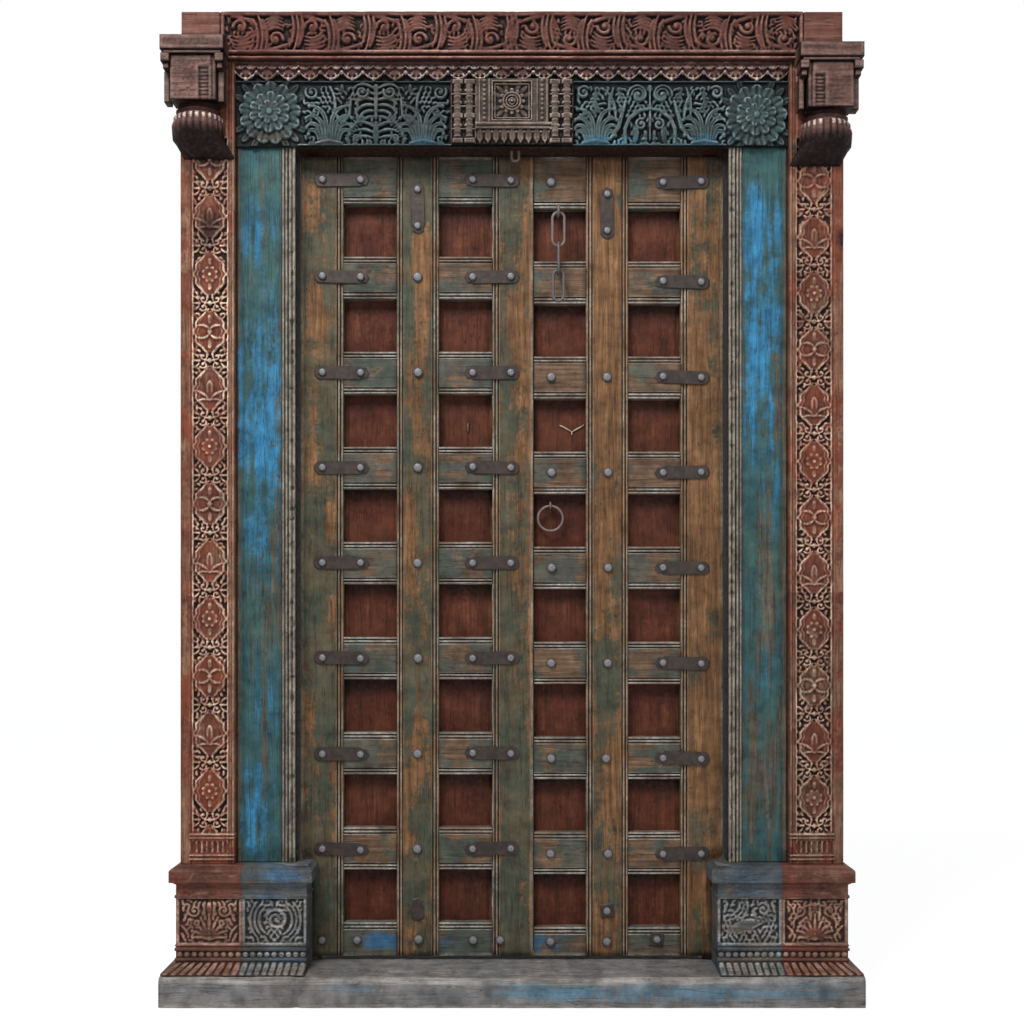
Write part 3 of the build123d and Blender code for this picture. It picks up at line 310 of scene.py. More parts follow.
class Piece:
    """Points and faces gathered for one object, with the marks its finish reads."""

    def __init__(self):
        self.points, self.faces, self.smooth, self.lift, self.ridge = [], [], [], [], []
        self.count = 0

    def add(self, points, faces, smooth, lift=0.5, ridge=0.0):
        points = np.asarray(points, float)
        total = len(points)
        self.points.append(points)
        self.faces += [[index + self.count for index in face] for face in faces]
        self.smooth += [smooth] * len(faces) if isinstance(smooth, bool) else list(smooth)
        self.lift.append(np.broadcast_to(np.asarray(lift, float), (total,)))
        self.ridge.append(np.broadcast_to(np.asarray(ridge, float), (total,)))
        self.count += total

    def make(self, name, material, body, slot, nodes, paint=None, right=True):
        """The object, riding on its body in place of its nodes. A board's faces need no turning."""
        points = np.concatenate(self.points)
        mesh = bpy.data.meshes.new(name)
        mesh.from_pydata((points * MM).tolist(), [], self.faces)
        mesh.polygons.foreach_set("use_smooth", self.smooth)
        marks = {"lift": np.concatenate(self.lift), "ridge": np.concatenate(self.ridge)}
        # The stain mark darkens real stains and also paints shade: along the leaves' tops under the lintel,
        # at the tops of the openings, on the lintel and under the capitals' cushions.
        for mark in ("azure", "bare", "cream", "stain_and_shade"):
            marks[mark] = np.zeros(len(points))
        if paint is not None:
            for mark, values in paint(points[:, 0], points[:, 2]).items():
                marks[mark] = np.broadcast_to(values, (len(points),))
        # The backs of the planks and battens get an even 0.12 in place of the painted shade under the rails.
        if slot == "panel_wood":
            marks["stain_and_shade"] = np.where(points[:, 1] > 85, 0.12, marks["stain_and_shade"])
        for mark, values in marks.items():
            layer = mesh.attributes.new(mark, "FLOAT", "POINT")
            layer.data.foreach_set("value", np.clip(values, -1, 2).astype(np.float32))
        if right:
            turned = bmesh.new()
            turned.from_mesh(mesh)
            bmesh.ops.recalc_face_normals(turned, faces=turned.faces)
            turned.to_mesh(mesh)
            turned.free()
        mesh.materials.append(material)
        mesh.update()
        piece = placed(name, mesh)
        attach(piece, body)
        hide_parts(*nodes)


def board(piece, wood, face, back, left=None, right=None, heights=None, full=None, ground=0.0):
    """A closed board with a carved front. Face, left, right and heights may be given row by row."""
    rows, columns = wood.height.shape
    z = wood.z if heights is None else np.asarray(heights, float)
    face = np.broadcast_to(np.asarray(face, float), (rows,))
    left = np.broadcast_to(np.asarray(wood.x[0] if left is None else left, float), (rows,))
    right = np.broadcast_to(np.asarray(wood.x[-1] if right is None else right, float), (rows,))
    share = (wood.x - wood.x[0]) / (wood.x[-1] - wood.x[0])
    x = left[:, None] + (right - left)[:, None] * share[None, :]
    y = face[:, None] - wood.height
    front = np.stack([x, y, np.broadcast_to(z[:, None], x.shape)], -1).reshape(-1, 3)
    backs = np.full(rows, float(back))
    rear_left = np.column_stack([left, backs, z])
    rear_right = np.column_stack([right, backs, z])
    points = np.concatenate([front, rear_left, rear_right])
    base_left, base_right = rows * columns, rows * columns + rows
    corner = (np.arange(rows - 1)[:, None] * columns + np.arange(columns - 1)[None, :]).ravel()
    quads = np.column_stack([corner, corner + 1, corner + columns + 1, corner + columns]).tolist()
    walls = []
    for row in range(rows - 1):
        start, end = row * columns, (row + 1) * columns
        walls.append([start, end, base_left + row + 1, base_left + row])
        walls.append([base_right + row, base_right + row + 1, end + columns - 1, start + columns - 1])
        walls.append([base_right + row, base_left + row, base_left + row + 1, base_right + row + 1])
    top = list(range((rows - 1) * columns, rows * columns)) + [base_right + rows - 1, base_left + rows - 1]
    bottom = [base_left, base_right] + list(range(columns - 1, -1, -1))
    highest = full or max(wood.height.max(), 1)
    # Lift and ridge feed the finish: low places and hollows get painted shade, and ridges get cream that is
    # partly a painted highlight.
    lift = clamp((wood.height - ground) / (highest - ground))
    ridge = np.clip((wood.height - soften(wood.height, 3)) / (0.13 * highest), -1, 1)
    sides = np.full(2 * rows, 0.6)
    faces = quads + walls + [top, bottom]
    smooth = [True] * len(quads) + [False] * (len(walls) + 2)
    marks = np.concatenate([lift.ravel(), sides]), np.concatenate([ridge.ravel(), sides * 0])
    piece.add(points, faces, smooth, *marks)


def refined(section, longest, eased):
    """A closed section with its corners eased and its long sides divided, and how sharp each point is."""
    section = [np.array(point, float) for point in section]
    points, sharp = [], []
    total = len(section)
    area = sum(a[0] * b[1] - a[1] * b[0] for a, b in zip(section, section[1:] + section[:1]))
    hand = 1 if area > 0 else -1
    for number in range(total):
        before, here, after = section[number - 1], section[number], section[(number + 1) % total]
        arm, leg = before - here, after - here
        turn = (-arm[0] * leg[1] + arm[1] * leg[0]) * hand / (np.linalg.norm(arm) * np.linalg.norm(leg))
        ease = min(eased, np.linalg.norm(arm) * 0.3, np.linalg.norm(leg) * 0.3)
        points.append(here + arm / np.linalg.norm(arm) * ease)
        points.append(here + leg / np.linalg.norm(leg) * ease)
        sharp += [turn, turn]
    out, edge = [], []
    for number in range(len(points)):
        start, end = points[number], points[(number + 1) % len(points)]
        parts = max(1, int(np.ceil(np.linalg.norm(end - start) / longest)))
        for part in range(parts):
            out.append(start + (end - start) * part / parts)
            edge.append(sharp[number] if part == 0 else 0.0)
    return np.array(out), np.array(edge)


def tube_faces(rows, count, closed=False):
    """The faces between rings of points, and from the last ring to the first when closed."""
    faces = []
    for row in range(rows if closed else rows - 1):
        here, ahead = row * count, (row + 1) % rows * count
        for index in range(count):
            step = (index + 1) % count
            faces.append([here + index, here + step, ahead + step, ahead + index])
    return faces


def bar(piece, section, start, end, along="z", seed=0, wear=0.5, pace=12, longest=9, eased=1.2, shape=None):
    """A bar of one section (across, y) from start to end, worn more at its arrises."""
    outline, sharp = refined(section, longest, eased)
    count = len(outline)
    following, before = np.roll(outline, -1, 0), np.roll(outline, 1, 0)
    way = following - before
    normal = np.column_stack([way[:, 1], -way[:, 0]])
    normal /= np.maximum(np.linalg.norm(normal, axis=1), 1e-6)[:, None]
    area = np.sum(outline[:, 0] * following[:, 1] - outline[:, 1] * following[:, 0])
    if area < 0:
        normal = -normal
    stations = np.linspace(start, end, max(2, int(abs(end - start) / pace) + 1))
    points, ridges = [], []
    for station in stations:
        rough = 0.5 + 0.5 * noise(outline[:, 0] + outline[:, 1], station, 27, seed)
        nick = clamp(noise(outline[:, 0] + 3 * outline[:, 1], station, 17, seed + 5) - 0.35) * 3
        depth = wear * (rough + nick * clamp(sharp))
        ring = outline - normal * depth[:, None]
        if shape is not None:
            ring = shape(ring, station)
        run = np.full(count, station)
        ring3 = (ring[:, 0], ring[:, 1], run) if along == "z" else (run, ring[:, 1], ring[:, 0])
        points.append(np.column_stack(ring3))
        ridges.append(np.clip(sharp, -1, 1))
    faces = tube_faces(len(stations), count)
    last = (len(stations) - 1) * count
    faces.append(list(range(count))[::-1])
    faces.append([last + index for index in range(count)])
    smooth = [True] * (len(faces) - 2) + [False, False]
    piece.add(np.concatenate(points), faces, smooth, 0.8, np.concatenate(ridges))


def turned(piece, x, y, profile, sides=24):
    """A turned form with its axis upright: profile points are (radius, z)."""
    angles = np.radians(np.arange(sides) * 360 / sides)
    points = [np.column_stack([x + radius * np.cos(angles), y + radius * np.sin(angles), np.full(sides, z)])
        for radius, z in profile]
    faces = tube_faces(len(profile), sides)
    faces.append(list(range(sides)))
    faces.append([(len(profile) - 1) * sides + index for index in range(sides)][::-1])
    smooth = [True] * (len(faces) - 2) + [False, False]
    piece.add(np.concatenate(points), faces, smooth, 0.7)


def wire(piece, path, radius, closed=True, sides=10, seed=0):
    """Forged wire along a path, a little uneven in its thickness."""
    path = np.asarray(path, float)
    total = len(path)
    points, normal = [], None
    for number in range(total):
        ahead = path[(number + 1) % total] if closed or number < total - 1 else path[number]
        behind = path[number - 1] if closed or number > 0 else path[number]
        way = (ahead - behind) / np.linalg.norm(ahead - behind)
        if normal is None:
            normal = np.cross(way, (0.3, 0.9, 0.2))
        normal = normal - way * (normal @ way)
        normal /= np.linalg.norm(normal)
        other = np.cross(way, normal)
        size = radius * (0.955 + 0.045 * noise(number * 9, seed * 31, 14, seed))
        for side in range(sides):
            angle = 2 * pi * side / sides
            points.append(path[number] + size * (cos(angle) * normal + sin(angle) * other))
    faces = tube_faces(total, sides, closed)
    if not closed:
        faces += [list(range(sides))[::-1], [(total - 1) * sides + side for side in range(sides)]]
    piece.add(points, faces, True, 0.6, 0.45)


# Finishes


class Finish:
    """A material, and short ways to lay out its nodes."""

    def __init__(self, name):
        self.material = bpy.data.materials.new(name)
        self.material.use_nodes = True
        self.tree = self.material.node_tree
        self.shader = self.tree.nodes["Principled BSDF"]
        self.place = self.tree.nodes.new("ShaderNodeTexCoord").outputs["Object"]

    def mark(self, name):
        node = self.tree.nodes.new("ShaderNodeAttribute")
        node.attribute_name = name
        return node.outputs["Fac"]


def put(tree, socket, value):
    """Sets a socket to a value, or links it to an output."""
    if isinstance(value, bpy.types.NodeSocket):
        tree.links.new(value, socket)
    elif isinstance(value, (tuple, list)) and len(value) == 3 and socket.type == "RGBA":
        socket.default_value = (*value, 1)
    else:
        socket.default_value = value


def work(tree, kind, first, second=0.0, third=0.0, clamp=False):
    node = tree.nodes.new("ShaderNodeMath")
    node.operation = kind
    node.use_clamp = clamp
    for socket, value in zip(node.inputs, (first, second, third)):
        put(tree, socket, value)
    return node.outputs[0]


def blend(tree, share, first, second):
    node = tree.nodes.new("ShaderNodeMix")
    node.data_type = "RGBA"
    node.clamp_factor = True
    put(tree, node.inputs[0], share)
    put(tree, node.inputs[6], first)
    put(tree, node.inputs[7], second)
    return node.outputs[2]


def span(tree, value, low, high, to_low=0.0, to_high=1.0):
    node = tree.nodes.new("ShaderNodeMapRange")
    for socket, given in zip(node.inputs, (value, low, high, to_low, to_high)):
        put(tree, socket, given)
    return node.outputs[0]


def stretched(tree, place, scale):
    node = tree.nodes.new("ShaderNodeVectorMath")
    node.operation = "MULTIPLY"
    put(tree, node.inputs[0], place)
    put(tree, node.inputs[1], scale)
    return node.outputs[0]


def cloud(tree, place, scale, detail=3.0, rough=0.55, twist=0.0):
    node = tree.nodes.new("ShaderNodeTexNoise")
    put(tree, node.inputs["Vector"], place)
    node.inputs["Scale"].default_value = scale
    node.inputs["Detail"].default_value = detail
    node.inputs["Roughness"].default_value = rough
    node.inputs["Distortion"].default_value = twist
    return node.outputs["Fac"]


def shared(name, inputs, outputs):
    """An empty group of nodes with the named sockets."""
    group = bpy.data.node_groups.new(name, "ShaderNodeTree")
    for label, kind in inputs:
        group.interface.new_socket(label, in_out="INPUT", socket_type=kind)
    for label, kind in outputs:
        group.interface.new_socket(label, in_out="OUTPUT", socket_type=kind)
    start = group.nodes.new("NodeGroupInput")
    end = group.nodes.new("NodeGroupOutput")
    return group, start, end


VALUE, COLOUR, VECTOR = "NodeSocketFloat", "NodeSocketColor", "NodeSocketVector"


def grain_group():
    """Long grain, drawn from a place that is already stretched along the wood."""
    inputs = [("Along", VECTOR), ("Place", VECTOR)]
    outputs = [("Grain", VALUE), ("Streak", VALUE), ("Fleck", VALUE), ("Crack", VALUE)]
    group, start, end = shared("long grain", inputs, outputs)
    along, place = start.outputs["Along"], start.outputs["Place"]
    fine = cloud(group, along, 2.6, 6.0, 0.62, 0.35)
    broad = cloud(group, along, 0.7, 4.0, 0.6, 0.8)
    fleck = cloud(group, place, 95.0, 5.0, 0.65)
    crack = cloud(group, along, 1.5, 3.0, 0.5, 1.2)
    crack = work(group, "ABSOLUTE", work(group, "SUBTRACT", crack, 0.5))
    group.links.new(span(group, fine, 0.3, 0.7), end.inputs["Grain"])
    group.links.new(span(group, broad, 0.32, 0.68), end.inputs["Streak"])
    group.links.new(span(group, fleck, 0.35, 0.65), end.inputs["Fleck"])
    group.links.new(span(group, crack, 0.0, 0.018, 1.0, 0.0), end.inputs["Crack"])
    return group


def wear_group():
    """Where paint still holds: 1 is sound paint and 0 is bare wood."""
    inputs = [(name, VALUE) for name in ("Grain", "Streak", "Fleck", "Ridge", "Bare", "Hold")]
    group, start, end = shared("paint wear", inputs, [("Paint", VALUE)])
    take = start.outputs
    level = work(group, "MULTIPLY_ADD", take["Streak"], 0.5, take["Hold"])
    level = work(group, "MULTIPLY_ADD", take["Grain"], 0.42, level)
    level = work(group, "MULTIPLY_ADD", take["Fleck"], 0.3, level)
    level = work(group, "MULTIPLY_ADD", work(group, "MAXIMUM", take["Ridge"], 0.0), -0.45, level)
    level = work(group, "SUBTRACT", level, take["Bare"])
    group.links.new(span(group, level, 0.42, 0.62), end.inputs["Paint"])
    return group


def grime_and_shade_group():
    """Darkens stained places, and paints shade into hollows and low places."""
    inputs = [("Colour", COLOUR), ("Lift", VALUE), ("Ridge", VALUE), ("Stain", VALUE), ("Fleck", VALUE),
        ("Grime", COLOUR)]
    group, start, end = shared("grime_and_shade", inputs, [("Colour", COLOUR)])
    take = start.outputs
    # Painted shade: hollows and creases are darkened where shade falls.
    hollow_shade = work(group, "MULTIPLY", work(group, "MINIMUM", take["Ridge"], 0.0), -0.95)
    # Painted shade: the deepest places of a carving are darkened, the deeper the darker.
    low_shade = span(group, take["Lift"], 0.0, 0.5, 0.95, 0.0)
    dark = work(group, "ADD", hollow_shade, low_shade)
    dark = work(group, "ADD", dark, take["Stain"])
    dark = work(group, "MULTIPLY", dark, span(group, take["Fleck"], 0.0, 1.0, 0.75, 1.1), clamp=True)
    group.links.new(blend(group, dark, take["Colour"], take["Grime"]), end.inputs["Colour"])
    return group


GRAIN, WEAR, GRIME_AND_SHADE = grain_group(), wear_group(), grime_and_shade_group()


def use(tree, group, **given):
    node = tree.nodes.new("ShaderNodeGroup")
    node.node_tree = group
    for label, value in given.items():
        put(tree, node.inputs[label], value)
    return node.outputs


def old_wood(name, along, wood, pale, paint, second, hold, grime_and_shade, azure=(0.07, 0.22, 0.36),
        cream=(0.5, 0.42, 0.33), lively=1.0, rough=0.62, cream_from=0.35, tone=1.0):
    """Weathered painted wood: bare grain, two worn coats of paint, blue patches, pale arrises that are partly
    a painted highlight, grime and painted shade.
    """
    finish = Finish(name)
    tree, shader = finish.tree, finish.shader
    lift, ridge, stain_and_shade = finish.mark("lift"), finish.mark("ridge"), finish.mark("stain_and_shade")
    grain = use(tree, GRAIN, Along=stretched(tree, finish.place, along), Place=finish.place)
    broad = cloud(tree, finish.place, 8.0, 4.0, 0.6)
    bare_wood = blend(tree, grain["Grain"], wood, pale)
    bare_wood = blend(tree, span(tree, grain["Streak"], 0.2, 1.0, 0.0, 0.55), bare_wood, wood)
    coat = blend(tree, span(tree, broad, 0.44, 0.56), paint, second)
    coat = blend(tree, work(tree, "MULTIPLY", grain["Grain"], 0.45 * lively), coat, wood)
    patch = work(tree, "MULTIPLY_ADD", grain["Fleck"], 0.45, finish.mark("azure"))
    patch = work(tree, "MULTIPLY_ADD", grain["Streak"], 0.35, patch)
    patch = work(tree, "MULTIPLY_ADD", grain["Grain"], 0.4, patch)
    patch = work(tree, "MULTIPLY", span(tree, patch, 0.7, 1.3), span(tree, finish.mark("azure"), 0.02, 0.3))
    coat = blend(tree, patch, coat, azure)
    held = use(tree, WEAR, Grain=grain["Grain"], Streak=grain["Streak"], Fleck=grain["Fleck"], Ridge=ridge,
        Bare=finish.mark("bare"), Hold=work(tree, "MULTIPLY_ADD", patch, 0.3, hold))["Paint"]
    colour = blend(tree, held, bare_wood, coat)
    # Cream on the ridges: partly chalky wear and partly a painted highlight.
    chalk_and_highlight = work(tree, "MULTIPLY", span(tree, ridge, cream_from, 0.95), finish.mark("cream"))
    chalk_and_highlight = work(tree, "MULTIPLY", chalk_and_highlight, span(tree, grain["Fleck"], 0.2, 0.7, 0.4, 1.0), clamp=True)
    colour = blend(tree, chalk_and_highlight, colour, cream)
    colour = blend(tree, work(tree, "MULTIPLY", grain["Crack"], 0.6), colour, grime_and_shade)
    # Grime and painted shade: stains, plus darkening in hollows and low places where shade falls.
    colour = use(tree, GRIME_AND_SHADE, Colour=colour, Lift=lift, Ridge=ridge, Stain=stain_and_shade, Fleck=grain["Fleck"],
        Grime=grime_and_shade)["Colour"]
    mottle = work(tree, "MULTIPLY", span(tree, cloud(tree, finish.place, 26.0, 4.0, 0.62), 0.32, 0.68, 0.62,
        1.28), tone)
    mottle = work(tree, "MULTIPLY", mottle, span(tree, grain["Grain"], 0.0, 1.0, 0.84, 1.14))
    shaded = tree.nodes.new("ShaderNodeVectorMath")
    shaded.operation = "SCALE"
    put(tree, shaded.inputs[0], colour)
    put(tree, shaded.inputs["Scale"], mottle)
    put(tree, shader.inputs["Base Color"], shaded.outputs[0])
    put(tree, shader.inputs["Roughness"], span(tree, grain["Fleck"], 0.0, 1.0, rough - 0.12, rough + 0.14))
    shader.inputs["Specular IOR Level"].default_value = 0.16
    height = work(tree, "MULTIPLY_ADD", held, 0.5, grain["Grain"])
    height = work(tree, "MULTIPLY_ADD", grain["Crack"], -1.2, height)
    height = work(tree, "MULTIPLY_ADD", grain["Fleck"], 0.35, height)
    bump = tree.nodes.new("ShaderNodeBump")
    bump.inputs["Strength"].default_value = 0.4
    bump.inputs["Distance"].default_value = 0.0012
    put(tree, bump.inputs["Height"], height)
    put(tree, shader.inputs["Normal"], bump.outputs[0])
    return finish.material


def forged_iron(name, dark, pale, rust):
    """Hammered iron, pale on its heights, partly rubbed and partly a painted highlight, and rusted between.
    """
    finish = Finish(name)
    tree, shader = finish.tree, finish.shader
    blows = cloud(tree, finish.place, 70.0, 2.0)
    fine = cloud(tree, finish.place, 420.0, 4.0)
    colour = blend(tree, span(tree, blows, 0.38, 0.62), dark, rust)
    # The pale on ridges and dome tops is partly rubbed iron and partly a painted highlight.
    paled = work(tree, "MULTIPLY", span(tree, finish.mark("ridge"), 0.1, 0.9),
        span(tree, fine, 0.35, 0.6, 0.4, 1.0))
    colour = blend(tree, paled, colour, pale)
    put(tree, shader.inputs["Base Color"], colour)
    shader.inputs["Metallic"].default_value = 0.3
    put(tree, shader.inputs["Roughness"], span(tree, fine, 0.3, 0.7, 0.38, 0.68))
    bump = tree.nodes.new("ShaderNodeBump")
    bump.inputs["Strength"].default_value = 0.5
    bump.inputs["Distance"].default_value = 0.0015
    put(tree, bump.inputs["Height"], work(tree, "MULTIPLY_ADD", fine, 0.3, blows))
    put(tree, shader.inputs["Normal"], bump.outputs[0])
    return finish.material


UPRIGHT, LEVEL = (46.0, 46.0, 2.2), (2.2, 46.0, 46.0)


def finishes():
    """Every finish of the door, by name."""
    # The darkest colour of grime and of the painted shade in hollows and low places.
    soot_and_shade = (0.006, 0.004, 0.004)
    made = {}
    made["crown"] = old_wood("crown wood", LEVEL, (0.072, 0.021, 0.014), (0.21, 0.092, 0.068),
        (0.108, 0.031, 0.023), (0.092, 0.036, 0.028), 0.12, soot_and_shade, cream=(0.4, 0.23, 0.19), cream_from=0.3)
    made["capital"] = old_wood("capital wood", LEVEL, (0.06, 0.026, 0.02), (0.16, 0.088, 0.07),
        (0.085, 0.031, 0.024), (0.09, 0.041, 0.032), 0.14, (0.006, 0.0018, 0.0018), cream=(0.6, 0.45, 0.4),
        cream_from=0.0)
    made["band"] = old_wood("band wood", LEVEL, (0.06, 0.023, 0.018), (0.18, 0.1, 0.08), (0.09, 0.035, 0.027),
        (0.08, 0.045, 0.04), 0.08, soot_and_shade, cream=(0.7, 0.56, 0.5), cream_from=0.2)
    made["frieze"] = old_wood("frieze paint", LEVEL, (0.05, 0.042, 0.036), (0.12, 0.11, 0.095),
        (0.042, 0.072, 0.074), (0.05, 0.094, 0.092), 0.34, (0.003, 0.0045, 0.005), azure=(0.05, 0.14, 0.2),
        cream=(0.25, 0.32, 0.33), cream_from=0.25)
    made["centre"] = old_wood("centre block wood", LEVEL, (0.06, 0.033, 0.024), (0.19, 0.14, 0.11),
        (0.12, 0.085, 0.066), (0.09, 0.075, 0.06), 0.1, soot_and_shade, cream=(0.6, 0.5, 0.42), cream_from=0.2)
    made["post"] = old_wood("post carving", UPRIGHT, (0.13, 0.05, 0.028), (0.29, 0.16, 0.1),
        (0.2, 0.048, 0.024), (0.15, 0.042, 0.026), 0.18, (0.012, 0.004, 0.003), cream=(0.78, 0.62, 0.47),
        cream_from=0.1)
    made["jamb"] = old_wood("jamb paint", UPRIGHT, (0.055, 0.045, 0.033), (0.15, 0.125, 0.09),
        (0.024, 0.097, 0.114), (0.036, 0.105, 0.1), 0.24, (0.01, 0.012, 0.012), azure=(0.035, 0.19, 0.36),
        cream=(0.36, 0.32, 0.27), cream_from=0.2)
    made["red plinth"] = old_wood("red plinth", LEVEL, (0.1, 0.038, 0.025), (0.21, 0.11, 0.078),
        (0.14, 0.043, 0.029), (0.12, 0.052, 0.038), 0.13, (0.012, 0.005, 0.004), cream=(0.42, 0.28, 0.21),
        cream_from=0.15, tone=1.12)
    made["blue plinth"] = old_wood("blue plinth", LEVEL, (0.08, 0.06, 0.048), (0.18, 0.15, 0.125),
        (0.062, 0.083, 0.098), (0.08, 0.09, 0.094), 0.18, (0.007, 0.008, 0.009), azure=(0.06, 0.13, 0.22),
        cream=(0.33, 0.34, 0.33), cream_from=0.15, tone=1.08)
    made["upright"] = old_wood("leaf uprights", UPRIGHT, (0.105, 0.05, 0.023), (0.27, 0.14, 0.062),
        (0.045, 0.066, 0.047), (0.085, 0.084, 0.054), 0.08, (0.012, 0.008, 0.006),
        azure=(0.035, 0.075, 0.075), cream=(0.34, 0.29, 0.23), cream_from=0.2)
    made["level"] = old_wood("leaf rails", LEVEL, (0.082, 0.045, 0.028), (0.215, 0.135, 0.08),
        (0.058, 0.082, 0.069), (0.095, 0.1, 0.079), 0.08, (0.012, 0.009, 0.008), azure=(0.045, 0.12, 0.21),
        cream=(0.44, 0.42, 0.38), cream_from=0.15)
    made["panel"] = old_wood("plank faces", UPRIGHT, (0.05, 0.0135, 0.0068), (0.14, 0.043, 0.02),
        (0.07, 0.0165, 0.009), (0.095, 0.028, 0.0135), 0.16, (0.006, 0.0025, 0.0018), cream=(0.25, 0.15, 0.1),
        lively=0.7, tone=1.04)
    made["sill"] = old_wood("sill wood", LEVEL, (0.1, 0.085, 0.074), (0.26, 0.24, 0.22), (0.125, 0.128, 0.13),
        (0.17, 0.165, 0.165), 0.12, (0.02, 0.017, 0.016), azure=(0.08, 0.15, 0.2), cream=(0.42, 0.41, 0.39),
        rough=0.7, cream_from=0.1, tone=1.4)
    made["iron"] = forged_iron("forged iron", (0.012, 0.0085, 0.007), (0.2, 0.2, 0.215),
        (0.036, 0.021, 0.0155))
    made["rubbed iron"] = forged_iron("rubbed iron", (0.05, 0.034, 0.03), (0.26, 0.2, 0.19),
        (0.11, 0.07, 0.06))
    made["pin"] = forged_iron("rubbed pins", (0.2, 0.16, 0.1), (0.55, 0.5, 0.4), (0.3, 0.24, 0.16))
    return made


def spots(x, z, places):
    """A mark that is strongest at each place: (x, z, half width, half height, strength)."""
    total = np.zeros(len(x))
    rag = swells(x, z, 38, 4) * 0.35
    for middle_x, middle_z, wide, tall, strength in places:
        away = np.hypot((x - middle_x) / wide, (z - middle_z) / tall)
        total = np.maximum(total, strength * clamp(1.35 - away + rag))
    return total


# Frame


def crown(finish):
    """The top board: a running scroll of leaves between plain ends, over an astragal."""
    wood = Carving(-812, 812, LINTEL_TOP, CROWN_TOP, 2.0)
    x, z = wood.grid_x, wood.grid_z
    field = (np.abs(x) < 708) & (z > 2332) & (z < 2419)
    wood.height[:] = 12
    wood.cut(field, 0)
    unit, count = 88, 16
    for number in range(count):
        middle = (number - (count - 1) / 2) * unit
        up = 1 if number % 2 == 0 else -1
        hand = 1 if number < count / 2 else -1
        eye_x, eye_z = middle - hand * 8, 2376 + up * 15
        volute(wood, eye_x, eye_z, 23, 90 + 90 * up, -up * hand, 11, 15, 0, 1.1)
        wood.disc(eye_x, eye_z, 8, 17)
        first = (-95 if up > 0 else 85) - 30
        last = first + 100
        if hand < 0:
            first, last = 180 - first, 180 - last
        for ring, radius in enumerate((28, 36.5, 45, 53.5)):
            path = arc(eye_x, eye_z, radius, first + hand * ring * 6, last - hand * ring * 9, 14)
            wood.stroke(path, [5, 9.5, 9.5, 4], 15 - ring, 0, 0.35)
        for step in (-11, 0, 11):
            stem = sweep_path(middle + hand * 42 + step, 2376 - up * 44, 90 * up - hand * up * 16,
                92 - abs(step), hand * up * 46, 14)
            wood.stroke(stem, [8, 10.5, 11, 5], 16 - abs(step) / 8, 0, 0.4)
        lip = sweep_path(middle - hand * 34, 2376 + up * 39, 0 if hand > 0 else 180, 72, -up * hand * 34, 10)
        wood.stroke(lip, [4, 11, 12, 5], 14, 0, 0.3)
    fill_gaps(wood, 0, 2, 706, 2332, 2418, 11, 5, 10, 15)
    wood.height = np.where(field, wood.height, np.minimum(wood.height, 12))
    wood.lay((np.abs(x) < 706) & (z > 2419), 13)
    for line, reach, rise in ((2329, 5, 5.5), (2314, 4.6, 6.5)):
        gap = np.abs(z - line) / reach
        wood.lay((np.abs(x) < 706) & (gap < 1), 11.5 + rise * half_round(gap))
    wood.cut((np.abs(x) < 706) & (np.abs(z - 2321) < 2.6), 5)
    wood.height = np.clip(wood.height, 0, 18)
    wood.weather(1, 0.3)
    ends = np.abs(x) > 714
    wood.height = np.where(ends, 10 + 0.8 * swells(x, z, 60, 9) - 3 * (np.abs(x) < 720), wood.height)
    piece = Piece()
    board(piece, wood, -36, FRAME_BACK, full=18)

    def paint(px, pz):
        ends_pale = clamp((np.abs(px) - 700) / 20)
        return {"cream": 0.3 + 0.5 * (pz < 2334) * (noise(px, pz, 90, 6) > -0.2) + 0.2 * noise(px, pz, 60, 2),
            "bare": 0.55 * ends_pale + 0.2 * noise(px, pz, 80, 4),
            "stain_and_shade": 0.04 + 0.2 * (1 - ends_pale) * clamp(noise(px, pz, 150, 2))}

    piece.make("carved_crown_board", finish["crown"], "frame", "crown_wood", ["crown_board"], paint,
        right=False)


